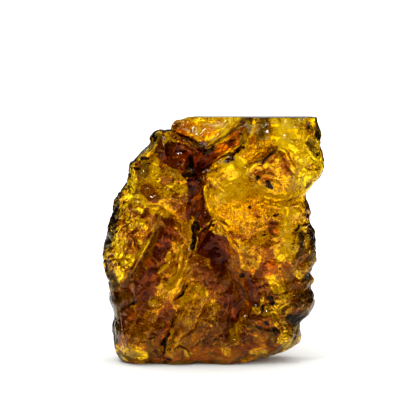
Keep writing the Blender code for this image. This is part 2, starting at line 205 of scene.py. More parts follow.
# Short wrinkles scattered over both faces
WRINKLES = 260
WRINKLE_SEED = 12
WRINKLE_LENGTH = (1.2, 4.2)
WRINKLE_WIDTH = (0.8, 1.3)
WRINKLE_HEIGHT = (0.12, 0.32)
WRINKLE_BEND = 1.2  # the most that one turns along half its length, in radians
WRINKLE_SPREAD = 30.0  # how far they reach to either side
WRINKLE_MARGIN = 1.0  # how far they stay from the foot and the top

# Gold to dark brown, by how much smoke is in the way: (smoke, colour)
SMOKE_COLOURS = [
    (0.0, (1.0, 0.96, 0.15)),
    (0.25, (0.76, 0.605, 0.065)),
    (0.5, (0.43, 0.255, 0.035)),
    (0.75, (0.18, 0.060, 0.008)),
    (1.0, (0.065, 0.011, 0.003)),
]

# Kinds of stain that have a look of their own: (sets in, is full, raggedness of its edge)
STAIN_LOOKS = {
    "smoke": (0.05, 1.05, 0.3),
    "clear": (0.1, 1.0, 0.5),
    "olive": (0.1, 0.95, 0.4),
    "maroon": (0.1, 0.95, 0.4),
    "ember": (0.2, 1.2, 0.8),
    "crust": (0.1, 0.9, 0.5),
    "speckled": (0.1, 0.8, 0.5),
    "soot": (0.3, 0.7, 0.4),
}
FINE_EDGE = 0.25  # share of the fine grain in every stain's edge
STAIN_COLOURS = {
    "clear": (1.0, 1.0, 0.6),
    "grainy": (0.40, 0.14, 0.012),
    "olive": (0.10, 0.075, 0.03),
    "maroon": (0.030, 0.0025, 0.001),
    "ember": (0.66, 0.145, 0.010),
    "crust": (0.026, 0.017, 0.008),
    "speckled": (0.05, 0.018, 0.005),
    "soot": (0.002, 0.001, 0.0006),
}

# Patterns in the resin: (grains per metre, detail, distortion), and then what they turn the noise into:
# (low, high, what low gives, what high gives)
PATTERNS = {
    "fine": (1100.0, 3.0, 1.5, 0.3, 0.7, -0.5, 0.5),
    "grit": (2300.0, 2.0, 0.5, 0.35, 0.65, -0.5, 0.5),
    "ragged": (330.0, 5.0, 1.0, 0.3, 0.7, -0.5, 0.5),
    "creased": (140.0, 2.0, 0.0, 0.42, 0.6, 0.0, 1.0),
    "clouds": (130.0, 3.0, 0.6, 0.5, 0.72, 0.0, 0.35),
    "mottle": (420.0, 3.0, 0.8, 0.35, 0.65, -0.09, 0.12),
    "specks": (1300.0, 2.0, 1.0, 0.58, 0.66, 0.0, 0.4),
    "pepper": (2600.0, 2.0, 1.8, 0.54, 0.59, -0.12, 0.75),
    "grain": (2100.0, 3.0, 2.0, 0.55, 0.6, 0.0, 0.75),
    "flecks": (1000.0, 3.0, 1.6, 0.52, 0.58, 0.0, 1.0),
    "gloss": (300.0, 2.0, 0.0, 0.3, 0.7, 0.0, 0.08),
}
SWIRL = (430.0, 5.0, 2.2)
STREAK_GRAIN = (620.0, 4.0, 0.6)

# Thin lines where the swirls and the streaks cross their middle: half their width in noise
CREASE_LINE = 0.045
STREAK_LINE = 0.018
LINE_CORE = 0.3  # share of a line that is at its full strength

# How much smoke each thing adds, or (low, high, what low gives, what high gives)
PLAIN_SMOKE = 0.09
MAROON_SMOKE = 0.6
CREASE_SMOKE = 0.45
FINE_SMOKE = 0.22
GRIT_SMOKE = 0.4
# painted shade: extra smoke in the hollows, by how far they sink
HOLLOW_SHADE_SMOKE = (0.1, 1.0, 0.0, 0.5)
STREAK_SMOKE = (0.36, 0.64, -0.14, 0.2)
STREAK_LINE_SMOKE = 0.4
LIVELY_PEPPER = (0.15, 1.0, 0.6, 1.1)
LIVELY_GRAIN = (0.15, 1.0, 0.35, 1.0)

# Relief that is too fine for the mesh
BUMP_STRENGTH = 0.3
BUMP_DISTANCE = 0.0002  # metres
CREASE_BUMP = -0.15
STREAK_BUMP = -1.0

# Stains in the resin, as seen from the front: (path, width, strength). One point makes a round stain. Among
# them, a few clear strokes are painted highlights, and the strokes along the foot's bottom edge are painted
# shade.
FRONT_STAINS = {
    "haze": [
        # top
        ([(5.4, 69), (4.6, 66)], 2.4, 0.35), ([(-9, 68.4), (-5, 67.6), (-1, 65.6)], 3, 0.35),
        ([(-9.6, 67.8), (-8.6, 65.8)], 3.6, 0.45), ([(-6, 67.4), (0, 66.6), (3, 67)], 8, 0.1),
        ([(-7, 66.4), (-3, 65.2)], 1.6, 0.3), ([(-9.4, 66), (-6, 63.6), (-2.6, 62), (1, 63)], 2.6, 0.35),
        # left shoulder, knob and hollow
        ([(-17, 60), (-16.6, 58)], 1.8, 0.4), ([(-10, 59.6), (-6, 58), (0, 58)], 5, 0.4),
        ([(-17, 59), (-16.6, 57.6)], 3, 0.5), ([(3, 56), (7, 56)], 5, 0.12),
        ([(-14, 53), (-12, 52)], 4, 0.3), ([(-13.6, 52.4), (-12, 52)], 3.4, 0.45),
        # upper right
        ([(13, 62), (12, 68)], 5, 0.2), ([(9, 60), (10.4, 60.6)], 3, 0.3),
        ([(8.2, 59.4), (10.6, 59.6)], 3, 0.5), ([(12, 55.6), (16, 55.6)], 3, 0.35),
        ([(20.4, 55), (20.4, 51)], 3, 0.25), ([(18, 50.6), (21, 52.4)], 2.4, 0.4),
        # left lobe
        ([(-25, 43), (-20, 44)], 3, 0.3), ([(-27, 41), (-25, 37), (-22, 35)], 5, 0.3),
        ([(-27, 37), (-25, 33.4)], 4, 0.35),
        # left band
        ([(-25, 16), (-18, 18), (-10, 18), (-2, 18)], 7, 0.35),
        ([(-16.4, 17.4), (-12.6, 16.2)], 3.4, 0.7), ([(-27, 15), (-23, 14)], 4, 0.5),
        # middle
        ([(-13, 46), (-10, 46), (-9.6, 49)], 5, 0.2), ([(-8.4, 47), (-8.2, 41)], 3, 0.5),
        ([(-12, 44.4), (-10.4, 43.6)], 2.4, 0.35), ([(-8.8, 40), (-8.2, 33)], 4, 0.42),
        ([(-12, 29), (-11, 23), (-13, 20)], 7, 0.35), ([(-4, 29), (-3, 22)], 7, 0.4),
        # right lobe
        ([(10.4, 47), (11, 44)], 2.4, 0.4), ([(21.6, 46.4), (24.4, 44.6)], 3, 0.15),
        ([(3, 44), (8, 43), (12, 42)], 7, 0.12), ([(5, 44), (8, 41)], 4, 0.2),
        ([(11.6, 39), (13.4, 44)], 3.4, 0.25), ([(6, 41.6), (8, 41)], 2, 0.3),
        ([(16, 41), (16.4, 34), (17, 28)], 4, 0.34), ([(5.4, 36.8), (9.6, 36.4), (11.4, 33)], 4, 0.3),
        ([(17, 33.4), (17.6, 27), (22, 27.6)], 3.4, 0.5),
        # right edge
        ([(25.4, 45), (27, 42)], 3, 0.4), ([(22, 31), (25, 30)], 4, 0.4),
        ([(23.4, 22.4), (24.4, 12)], 6, 0.35),
        # low right
        ([(11.6, 25), (13.6, 21), (14, 12)], 5, 0.6), ([(1, 22), (4, 15)], 4, 0.5),
        ([(19, 21), (21, 11)], 5, 0.35), ([(18.6, 19.6), (21, 19)], 2, 0.4),
        # foot
        ([(20.4, 12.4), (23, 11)], 3, 0.7), ([(21.4, 12), (24, 9.4)], 3, 0.8),
        ([(-23, 10), (-16, 10), (-8, 8), (0, 7), (8, 6), (14, 6)], 10, 0.38),
        ([(-27, 9), (-24, 7.4)], 4, 0.45), ([(-17.4, 9), (-17.6, 3)], 3.4, 0.8),
        ([(-26, 8), (-25, 5.4)], 3, 0.5), ([(12, 6.8), (18.6, 6.2)], 5, 0.75),
        ([(-15, 3), (-8, 2.6), (0, 2.6), (9, 3.4)], 3.6, 0.75),
        ([(-13, 2.6), (-4, 2.4), (2, 1.6), (12, 2.6)], 3.4, 0.75),
    ],
    "smoke": [
        # top
        ([(-9.4, 68), (-6, 66.6)], 2, 0.5), ([(-11.4, 67.6), (-10.2, 66.2), (-8.4, 65)], 2.6, 0.6),
        ([(5.4, 66.2), (6.6, 65.2)], 1.8, 0.7), ([(-12.6, 65.2), (-9, 63.4), (-4.6, 60.8)], 0.9, 0.9),
        ([(-16, 64.4), (-15.4, 64.8)], 0.9, 0.9),
        # left shoulder, knob and hollow
        ([(-13, 61), (-12.8, 58.6), (-13.4, 56.8)], 3, 0.7),
        ([(-20.4, 57.4), (-20.8, 55.4), (-20.6, 53.4)], 1.8, 0.9),
        ([(-13.6, 56.6), (-10, 55.2), (-6.4, 55.2)], 3, 0.7), ([(-13.8, 52.4), (-12.2, 52)], 2.4, 0.5),
        # upper right
        ([(15, 69.8), (14.8, 67)], 3.2, 0.95), ([(23.6, 68.6)], 2.8, 0.5),
        ([(26.6, 68), (27.2, 65.6)], 2.2, 0.7), ([(27, 66), (27.6, 62)], 3, 0.4),
        ([(10.8, 63.6), (12.6, 64.9)], 1.8, 0.9), ([(12, 62.2), (14.2, 62.8)], 3, 0.3),
        ([(13.2, 57.6), (15.2, 59.6), (17.2, 61.4)], 2.2, 0.6),
        ([(15.8, 57.6), (17, 59), (18.4, 60.4)], 1, 0.8),
        ([(19.2, 59.6), (20, 57.4), (20.8, 55.4)], 2.4, 0.85), ([(19.4, 58.4), (20.6, 57.6)], 1.8, 0.6),
        ([(20.4, 58), (20.4, 55.2)], 1.6, 0.5), ([(26, 57), (29, 56)], 1.6, 0.3),
        ([(19, 56.8), (19.6, 55.2)], 2.4, 0.6), ([(21.8, 56.6), (23.4, 56.2)], 1.4, 0.6),
        ([(12, 53.6), (14, 52.6), (15.2, 54.2)], 4, 0.55), ([(11, 51.4), (12.2, 49.4)], 2, 0.4),
        # left lobe
        ([(-22.6, 50), (-21.4, 48.6)], 1.6, 0.6),
        ([(-18.4, 49.8), (-17.2, 48.6), (-16.2, 47.8)], 3.6, 0.9),
        ([(-23, 47.2), (-24.6, 46.6)], 1.2, 0.8), ([(-20, 46.2), (-19, 44.6), (-17.4, 42.4)], 1.5, 1),
        ([(-23.4, 45.6), (-22.3, 43.8), (-20.4, 43.2), (-18.4, 42.2)], 1.3, 0.9),
        ([(-27.6, 43), (-27.8, 38)], 2.6, 0.6), ([(-25.6, 42.6), (-24.2, 41.4)], 1.2, 0.6),
        ([(-19.2, 42), (-17.8, 40.2)], 1.8, 0.8),
        ([(-15, 41.4), (-15.8, 38.4), (-17.2, 35), (-19.2, 31.8), (-21.4, 28.2), (-23.4, 25),
          (-25, 21.6), (-26.4, 17.4)], 5, 0.9),
        ([(-28, 40.4), (-25.6, 40.8), (-23.8, 40.2)], 2, 0.6), ([(-19.4, 38.8), (-18, 37.4)], 1.6, 0.9),
        ([(-21, 38.6), (-18.2, 37.6)], 1.3, 0.7), ([(-23.8, 38.4), (-22.4, 36.8), (-21, 35.2)], 1.2, 1),
        ([(-22, 37.4), (-20.6, 35.4)], 2, 0.8), ([(-19.8, 36.8), (-18, 36)], 1.6, 0.8),
        ([(-23, 36), (-22.2, 34), (-21.8, 32.4)], 3.4, 0.6), ([(-20.8, 34.8), (-20.9, 32.6)], 1, 0.8),
        ([(-25, 33.4), (-24.6, 31.6), (-23.4, 30.6)], 1.2, 0.5),
        # channel
        ([(-1.4, 52.8), (-0.6, 51.2)], 1.6, 0.7), ([(-4.6, 38.4), (-4.9, 34.4)], 1.8, 0.9),
        # left band
        ([(-16, 50.2), (-14.8, 49.4)], 2, 0.4),
        ([(-13.6, 41), (-13.2, 38), (-14, 35), (-15.6, 32.4)], 5.4, 0.9),
        ([(-16.6, 34), (-18.4, 29.6), (-20.2, 26.4), (-21.8, 22.6)], 5.4, 0.75),
        ([(-14.6, 30.6), (-14, 29.2)], 2, 0.6), ([(-17, 28), (-16.2, 25.2), (-17.2, 22.6)], 3.4, 1),
        ([(-16.8, 25.4), (-13.8, 28)], 1.6, 0.5), ([(-15.6, 27.4), (-13.6, 26.8)], 2, 0.6),
        ([(-19.2, 23.6), (-17.6, 21.6), (-18.4, 18.6), (-20.2, 16)], 3, 0.85),
        ([(-24, 21.6), (-22.4, 20), (-20.4, 21.4)], 5, 0.9), ([(-24.6, 16.6), (-23, 15.6)], 2.6, 0.5),
        # middle
        ([(-10, 49), (-8.4, 46.4), (-9, 43)], 4, 0.45),
        ([(-12.6, 46.8), (-9.6, 44.6), (-8.6, 42)], 2, 0.6), ([(-11.6, 38.2), (-10.2, 36.8)], 3, 0.7),
        ([(-4.4, 30.6), (-3.6, 26.6)], 5, 0.5), ([(-3, 28.6), (-2.2, 27)], 2.6, 0.9),
        ([(-1, 27), (-0.6, 23.6)], 2.2, 0.7), ([(-13.2, 24.6), (-11.8, 24.4)], 1.8, 0.7),
        ([(-3, 24.6), (-1, 22), (0.4, 20)], 2.2, 0.7), ([(-1.6, 23.4), (-0.2, 20)], 4, 0.35),
        ([(-13, 18.6), (-12.2, 17.2)], 2, 0.6),
        # right lobe
        ([(11.4, 45.6), (11.8, 42.6)], 2.2, 0.5), ([(22.8, 38.8), (21.2, 36.4)], 1, 0.9),
        ([(5.6, 37.8), (8.6, 36.4)], 2.2, 0.6),
        ([(14.6, 34), (15, 31.2), (14.8, 28.6), (13.2, 26.4)], 3, 0.65),
        ([(13.4, 33.6), (15.4, 30.6), (16.8, 27.4)], 3, 0.6), ([(14.6, 32.8), (17.4, 32.6)], 2.2, 0.7),
        ([(6, 32.6), (8.2, 31.8), (12.2, 31)], 1, 0.6), ([(15.8, 32), (14.2, 28.6)], 2.4, 0.8),
        ([(8.4, 30.2), (10.4, 29.2)], 1.6, 0.7), ([(19.4, 29.6), (20.8, 28.4)], 2, 0.7),
        # right edge
        ([(24.4, 31.8), (26.4, 30.6)], 2.6, 1),
        # low right
        ([(4, 31.6), (4.6, 28.4), (4.4, 25.4)], 6, 0.95),
        ([(20.6, 27), (21.8, 24.4), (23.6, 22.6)], 3.2, 0.6),
        ([(2.6, 26.4), (3.8, 22.6), (5.4, 19.4)], 6.4, 0.95), ([(8.4, 26)], 2.8, 0.9),
        ([(7.4, 24.4), (8.4, 21), (8, 17.4)], 6.4, 0.9), ([(13.4, 24.4), (15.4, 21.6)], 2.6, 0.45),
        ([(15, 23.6), (15.6, 21), (17.6, 19.8)], 1.8, 0.7), ([(0, 22.6), (5, 21), (8.6, 19.4)], 2.4, 0.6),
        ([(15.6, 20), (19, 20.6), (21, 21.6)], 1.4, 0.7), ([(0, 20.4), (4, 19.4), (9, 19.6)], 2, 0.5),
        ([(1, 18.8), (5, 18.2), (8.6, 18.4)], 1.8, 0.5), ([(2, 18.6), (5, 18), (9, 18.8)], 2.4, 0.7),
        ([(21.8, 17.6), (23.6, 15.6)], 2.6, 0.5), ([(4.2, 16.4), (3.6, 13), (4, 9.6)], 4, 0.9),
        ([(11, 13.8), (13, 15)], 2.4, 0.7),
        # foot
        ([(-18, 17.4), (-18.6, 13.4), (-17, 10.6)], 4.4, 0.4), ([(-11.4, 15.4), (-12.4, 11.6)], 2.4, 0.7),
        ([(-25.8, 15), (-24.6, 12.2), (-22, 12.2)], 4, 0.45),
        ([(-4, 14.8), (-2.2, 9.4), (-3.4, 5.6)], 5, 0.45),
        ([(-13, 14.4), (-14, 10.8), (-15.4, 7), (-16, 3.4)], 4.6, 0.9),
        ([(9, 14.2), (10.4, 11.6), (9.6, 8.4)], 4.2, 0.6),
        ([(0.4, 14), (1.8, 9.4), (0.6, 5.4)], 4.4, 0.35), ([(-10.2, 13), (-6.8, 8)], 7, 0.35),
        ([(24.6, 12), (24.6, 9)], 2.4, 0.9), ([(10.2, 11.8), (12, 10.2)], 2.2, 0.7),
        ([(10.6, 11.4), (13.4, 11.8)], 2, 0.7), ([(14.6, 10.6), (17.2, 9.6), (16.4, 6.4)], 3.6, 0.9),
        ([(16.6, 10), (17.4, 7)], 2.4, 0.9), ([(13.6, 9.8), (16.4, 7.6), (17.2, 5)], 2.6, 0.75),
        ([(14.8, 9.8), (18, 8.2), (17, 5.4)], 3.4, 0.7),
        ([(-25.4, 9.6), (-22, 9.4), (-19, 8.4)], 6.4, 0.5), ([(17, 9.6), (18.4, 7)], 2, 0.8),
        ([(-26.6, 8.4), (-26.4, 5.6)], 1.8, 0.8), ([(-18.6, 7.8), (-17.6, 5), (-17.4, 2.4)], 3.4, 0.95),
        ([(6.6, 5), (8.6, 3.2), (10.4, 6.2)], 3.6, 0.8), ([(-5.6, 6), (-4.4, 3.6)], 2.2, 0.8),
        ([(-17, 5.4), (-16, 3.8), (-18.6, 2.2)], 2.8, 0.9), ([(-15.8, 5.4), (-14.8, 2.8)], 2.2, 0.95),
        ([(-9, 5.2), (-8.6, 3)], 1.6, 0.8), ([(-2.6, 4.6), (0.4, 4.4)], 3.2, 1),
        ([(-10, 3.8), (-4, 3.2), (3, 3.6)], 2.2, 0.8), ([(-10.4, 3.6), (-8.4, 3.2)], 2, 0.6),
        ([(-14, 2), (-6, 1.8), (2, 2), (8, 3)], 2.2, 0.6),
        # painted shade: dark along the foot's bottom edge, where the slab stands on the floor
        ([(-23, 0.9), (-19, 0.6), (-12, 0.8), (0, 0.7), (7, 0.9)], 2.2, 1),
    ],
    "maroon": [
        # top
        ([(7.2, 64.4), (8, 66.6), (8.4, 69)], 1.4, 0.8), ([(5.4, 65), (6.8, 66.4)], 1.8, 0.8),
        # left shoulder, knob and hollow
        ([(-2.2, 58.4), (0.4, 60.2), (3, 61.9), (6.2, 63.4)], 3, 0.95),
        ([(-12.2, 61.6), (-9.8, 61.2), (-7.4, 60.4), (-4.2, 58.8)], 3.6, 0.9),
        ([(-3.2, 60.6), (-3.4, 58.4), (-4.2, 56.2), (-4, 54.8)], 2.8, 1),
        ([(-12.6, 59), (-10.4, 57.2), (-7.6, 56.4)], 3.6, 1), ([(-11.4, 58.6), (-8, 57)], 3.4, 0.9),
        ([(-10.2, 57), (-8.4, 55.4)], 2, 0.6), ([(-2.2, 56.4), (-1.4, 57)], 2.4, 0.9),
        # channel
        ([(-4.9, 53.6), (-4.9, 49), (-4.4, 45), (-2.8, 42)], 4.4, 1),
        ([(-6.4, 53.4), (-6.2, 49), (-6.2, 45), (-6.8, 42.2)], 1.8, 1),
        ([(-3.4, 52.4), (-3.4, 48.2), (-2.4, 44.4)], 1.4, 0.9), ([(-4.4, 50), (-3.4, 45)], 3, 0.9),
        ([(-3.4, 41), (-2, 39.4)], 2.2, 0.9), ([(-2.2, 36.4), (0, 35.4), (2.4, 35)], 4.6, 0.95),
        # left band
        ([(-13.2, 37.6), (-13.8, 35), (-15, 32.4)], 4, 0.9), ([(-17.2, 26.8), (-16, 24.4)], 2.8, 0.95),
        ([(-25, 16), (-21.8, 13.6)], 3.4, 0.55),
        # middle
        ([(-2.4, 33.6), (0.4, 32.2), (2.6, 31.4)], 4.4, 0.95), ([(-0.6, 25.6), (0.2, 22.6)], 2, 0.6),
        # right lobe
        ([(15.8, 40.8), (17.4, 40.4)], 1.6, 0.8), ([(16.4, 39.2), (17.2, 37.8)], 1.8, 0.7),
        # low right
        ([(1, 29.6), (2, 27.4)], 3.6, 0.9), ([(14, 27.8), (13.2, 26.4)], 2, 0.6),
        ([(10.4, 23.4), (11.4, 21.4), (11.6, 18.8)], 3.4, 1), ([(5.4, 17.4), (6, 14)], 3.2, 0.95),
        # foot
        ([(-27, 15.8), (-26.2, 11.6)], 3.2, 0.95), ([(-13, 10), (-14.6, 6.6)], 1.6, 0.5),
    ],
    "ember": [
        # top
        ([(-8, 66.4), (-1, 66), (4, 67.6)], 6, 0.48), ([(6, 66), (7.4, 62)], 2, 0.6),
        # left shoulder, knob and hollow
        ([(1.4, 61), (3.4, 62.3)], 1.8, 1), ([(4.6, 61)], 1.4, 1),
        ([(-10.2, 60.2), (-8.2, 58.4), (-6.8, 59.2)], 2.4, 0.5), ([(1.2, 58.9), (2.6, 59.8)], 1.2, 0.7),
        ([(-5, 58.6), (-5, 56.6)], 1.2, 0.9), ([(-9.6, 57), (-8, 54)], 2.6, 0.4),
        # upper right
        ([(12.6, 53.6), (14.4, 52.8)], 2.4, 0.4),
        # left lobe
        ([(-25.4, 48), (-27.2, 40), (-27.6, 30)], 4, 0.42),
        # channel
        ([(-5, 52), (-5, 48), (-4.6, 45.6)], 2.6, 0.5), ([(-1, 50), (-0.6, 46)], 1.6, 0.4),
        ([(-4.4, 48), (-4, 45)], 1.4, 0.5),
        # left band
        ([(-18, 29.4)], 3, 0.7), ([(-16.4, 26.4), (-16.6, 24.4)], 2, 0.35),
        ([(-24.2, 15.6), (-22.6, 14.4)], 2.6, 0.5),
        # middle
        ([(-14.6, 34.6), (-12.4, 37.6), (-10.4, 40)], 2.2, 0.55),
        # right lobe
        ([(2, 42.7)], 1.5, 0.7), ([(17.8, 38.6)], 1.6, 0.8),
        # low right
        ([(14, 29), (15.2, 28)], 2, 0.3), ([(16.4, 29), (16.2, 26.4)], 2.8, 0.6),
        ([(9.4, 27.4), (11.6, 27.8)], 1.6, 0.6), ([(10.6, 22.6), (11.6, 21.2)], 2.4, 0.4),
        ([(10, 17.8)], 2, 0.5), ([(5.6, 16.4), (5.8, 14.4)], 2.2, 0.35),
        ([(6.2, 16.2), (5.8, 13.6)], 2, 0.5),
        # foot
        ([(-26.4, 15.6), (-26.2, 10), (-26.4, 6)], 2.2, 0.45), ([(-12.6, 11.6), (-13.6, 8.6)], 2, 0.4),
    ],
    "crust": [
        # upper right
        ([(14.9, 69.9), (14.6, 67), (13.6, 65.4)], 1.6, 0.8), ([(29.6, 66.8), (29.8, 64.4)], 1.8, 0.9),
        ([(27.2, 63.2), (28, 61.4), (28.8, 59.8)], 2.2, 0.9), ([(29.8, 56), (28.6, 53)], 0.9, 0.7),
        ([(27.4, 51.4), (26.4, 50.2)], 1.4, 0.8),
        # left lobe
        ([(-26.4, 50.6), (-27.2, 48)], 1.6, 0.9), ([(-26.4, 50), (-27.4, 47), (-28.4, 44)], 2.2, 1),
        ([(-28, 44.6), (-28.6, 41), (-29.4, 37.6), (-30.4, 34.6)], 3.8, 1),
        ([(-30.4, 33.4), (-30.8, 30.2), (-30, 26.8)], 1.4, 0.8),
        # left band
        ([(-28.8, 25.6), (-28, 22.6)], 3, 0.9),
        # right edge
        ([(28.4, 38.6), (28.6, 34), (27.8, 29.8)], 2.2, 0.9),
        ([(25, 37.6), (24.8, 35), (25.2, 32.4), (23.8, 31.2)], 2, 0.9),
        ([(25.6, 36), (25.4, 34)], 1.2, 0.8), ([(24.2, 31.2), (25.2, 29.6)], 1.4, 0.8),
        ([(27.6, 30.6), (28, 27.6)], 1.6, 0.9), ([(27.8, 28.6), (27.6, 26)], 1.8, 0.9),
        ([(27.2, 28.2), (27.4, 26.4)], 1.6, 0.9), ([(27, 25.4), (26.4, 23)], 2.6, 0.8),
        ([(27, 21), (27.6, 18), (26.6, 15.4)], 2.6, 0.6), ([(21.8, 13.4), (24, 12.4), (26, 14.2)], 3, 1),
        # foot
        ([(-27.6, 18), (-27.8, 13), (-27.6, 7)], 3.2, 1),
        ([(24, 12.6), (24.8, 10.4), (24.2, 8)], 1.6, 0.9),
        ([(24.8, 12.4), (24.6, 10), (24, 7.6)], 1.8, 1), ([(10.4, 11.8), (13.8, 10.4)], 1.6, 0.7),
        ([(10.4, 11.6), (12, 10.8)], 1.2, 0.5), ([(15.6, 10.4), (17, 8.6), (16.6, 6)], 2.4, 0.8),
        ([(-17.9, 6.6), (-17.5, 2.6)], 1.8, 0.9), ([(-16.4, 5), (-15.4, 3)], 1.4, 0.7),
        ([(-1, 3.8), (1.4, 3.4)], 1.2, 0.6),
        # painted shade: the strokes along the foot's bottom edge, where the slab stands on the floor
        ([(-26.8, 3.4), (-24, 1.4), (-20, 0.8), (-14, 0.6)], 1.2, 0.8),
        ([(-20, 2.2), (-18.8, 2.4)], 1, 0.6), ([(-14, 0.5), (-4, 0.4), (4, 0.5)], 1.7, 0.85),
    ],
    "soot": [
        # top
        ([(4.8, 63.6), (6.6, 64.2)], 0.6, 1),
        # left shoulder, knob and hollow
        ([(-2.4, 60.2), (-0.6, 61.2), (0.4, 62)], 1.1, 1), ([(-19.7, 58.8), (-18.1, 58.7)], 1, 1),
        ([(-6.2, 58.6), (-5.9, 56.6), (-7, 55.8)], 1.5, 0.9), ([(-20.3, 57.3)], 0.9, 1),
        ([(-21.4, 55.9), (-20.6, 55.5)], 1.1, 1), ([(-8.4, 54.1), (-5.2, 54.3)], 1.2, 1),
        ([(-23, 54.1)], 0.8, 1),
        # upper right
        ([(26.7, 67.2)], 1.2, 1), ([(29.6, 65.6), (29.7, 64.6)], 1.2, 1),
        ([(12.4, 60.4), (14.6, 61), (17.2, 61.8)], 0.3, 0.8),
        ([(13.9, 58), (15, 59.3), (16.6, 60.9)], 0.8, 1), ([(11, 57), (12.6, 58.1)], 0.5, 0.9),
        ([(12.4, 53.3)], 1.3, 0.9), ([(15.1, 52.2), (15.5, 51.2), (16.1, 50.6)], 1.2, 1),
        # channel
        ([(-0.3, 41.2), (-1, 39.8), (-2.6, 38.2)], 0.6, 1),
        ([(-5, 40.6), (-5.2, 37.6), (-5.5, 33.6)], 1.5, 1), ([(-4.6, 40.6), (-3.9, 39)], 1.3, 1),
        # left band
        ([(-22.6, 17.7), (-21.4, 18.5)], 0.8, 1), ([(-26.2, 15.4), (-24.5, 16.5), (-23, 17.4)], 0.4, 1),
        # middle
        ([(-6.4, 31), (-5.4, 32.3)], 0.4, 0.9), ([(-8.2, 21.6), (-6.2, 24.4)], 0.35, 0.9),
        ([(-9.4, 21.4), (-8.2, 23), (-7.6, 24.2)], 0.35, 0.9), ([(-2.4, 24.2), (-1.7, 22.8)], 0.8, 0.7),
        ([(-9.9, 19.7), (-9, 20.4), (-8.4, 21.2)], 0.7, 1),
        # right lobe
        ([(10.5, 45.2)], 1, 1), ([(10.3, 43.8)], 0.7, 0.9), ([(18.4, 43.3)], 0.9, 1),
        ([(17.3, 43)], 0.9, 1), ([(14, 37.7), (15, 37.5)], 0.7, 1),
        # right edge
        ([(24.2, 39.6), (23.4, 38.7)], 0.8, 1), ([(25.4, 36.6), (24.8, 34.2)], 1, 0.9),
        ([(27, 25.2)], 2, 0.8), ([(22.4, 13.4), (24.8, 13.4)], 2.2, 1),
        ([(23.2, 11.4), (25, 12.6)], 1.6, 0.9),
        # low right
        ([(18.7, 27.9)], 0.8, 0.9), ([(8, 25.8)], 1.5, 0.9), ([(16.3, 19.4), (16.8, 18)], 1.6, 1),
        ([(14.1, 17.2), (13.8, 15.7)], 0.9, 1), ([(4, 11), (4.4, 14.4)], 0.8, 0.7),
        ([(14.4, 13), (14.9, 12.5)], 1.2, 1),
        # foot
        ([(-10, 16.3), (-10.8, 13.5), (-11.7, 11.4), (-12.6, 10)], 0.45, 0.95),
        ([(12.4, 11.5), (13.2, 11.1)], 1.1, 1), ([(17.2, 10.8), (17.9, 9.8)], 1.3, 0.95),
        ([(-12.6, 9), (-13.4, 7.4), (-14.2, 6.2)], 1, 1),
        ([(-13.4, 6.4), (-13.7, 4.6), (-14.3, 3)], 0.5, 1),
    ],
    "olive": [
        # top
        ([(-15.4, 66.4), (-12.2, 66)], 1, 0.5), ([(-16.4, 65.4), (-16.8, 62.8), (-16.4, 60.8)], 1.8, 1),
        ([(-13.6, 63.4)], 4.4, 0.45),
        # left shoulder, knob and hollow
        ([(-14.8, 64.4), (-14.6, 61)], 3.4, 0.7), ([(-14.6, 60.6), (-12.4, 61.4)], 2.2, 0.8),
        ([(-13.2, 60.2), (-12.6, 59)], 2, 0.6), ([(-4.8, 60), (-4.4, 55.4)], 1.6, 0.5),
        ([(-23.4, 57.6), (-21.4, 58.4)], 1.2, 0.7),
        ([(-19, 57.6), (-18.8, 55.4), (-19.6, 53.6)], 2.6, 0.9),
        # upper right
        ([(14.5, 70), (14.3, 67), (13.3, 65.3)], 3, 0.95),
        ([(9.8, 69), (9, 66.2), (8.2, 63.8)], 2.8, 0.9), ([(16.2, 69), (16.8, 66.4)], 1.6, 0.35),
        # left lobe
        ([(-17, 42.4), (-15, 41.6)], 2, 0.5),
        # channel
        ([(1.4, 39), (0.4, 37.8)], 2.4, 0.6),
        # left band
        ([(-15.2, 41.6), (-15.8, 38.6), (-17.2, 35), (-19.2, 31.8), (-21.4, 28.2)], 3, 0.5),
        ([(-22.6, 26.4), (-24.6, 22.8)], 3.4, 0.4), ([(-25.4, 21), (-24.4, 19.6)], 2.4, 0.5),
        ([(-22.6, 19.2)], 2.2, 0.6),
        # right lobe
        ([(2.6, 37.4), (4.2, 35.4)], 1.4, 0.7),
        # right edge
        ([(25.8, 46.6), (26.8, 43.6)], 1.6, 0.5), ([(25, 21), (25.4, 19)], 2.6, 0.5),
        ([(27.2, 20.6), (27.4, 17.4), (25, 17.8)], 3.4, 0.7),
        # low right
        ([(4.4, 27.6), (4, 23.6)], 4.4, 0.35), ([(20.8, 27), (21.6, 24.4)], 2.4, 0.5),
        ([(8, 18)], 2.8, 0.5),
        # foot
        ([(23.4, 11), (24.4, 8.6), (23.6, 6.2)], 2.6, 1),
        ([(-20, 9), (-10, 5.6), (0, 4.6), (13, 5)], 6, 0.38),
        ([(-16.8, 9), (-17.4, 6.4), (-17.8, 3.4)], 1.2, 0.8), ([(13, 8.2), (14.6, 8)], 2.6, 0.4),
        ([(5, 1.8), (11, 2.2), (16, 3.2)], 1.8, 0.5),
    ],
    "speckled": [
        ([(12, 17), (17, 15.6), (21, 18.6)], 10, 0.65), ([(12.6, 8.6), (16, 8)], 6, 0.6),
        ([(-20, 57), (-22.6, 53)], 4, 0.6), ([(-11.4, 51.6), (-14, 53.4), (-9, 48)], 6, 0.6),
        ([(-16, 54.6)], 3.6, 0.7), ([(23.6, 33), (25.6, 28), (23.4, 23.4)], 6, 0.8),
        ([(17, 42), (12.4, 41), (11.4, 37)], 4, 0.6), ([(24, 69), (27, 65)], 5, 0.6),
        ([(-20.4, 37), (-22, 44)], 6, 0.6), ([(-8, 66), (-5, 64), (-1, 63.4)], 3, 0.5),
        ([(2, 12), (-1, 9), (2, 6)], 7, 0.6), ([(23, 53.4)], 4, 0.5),
    ],
    "clear": [
        # top
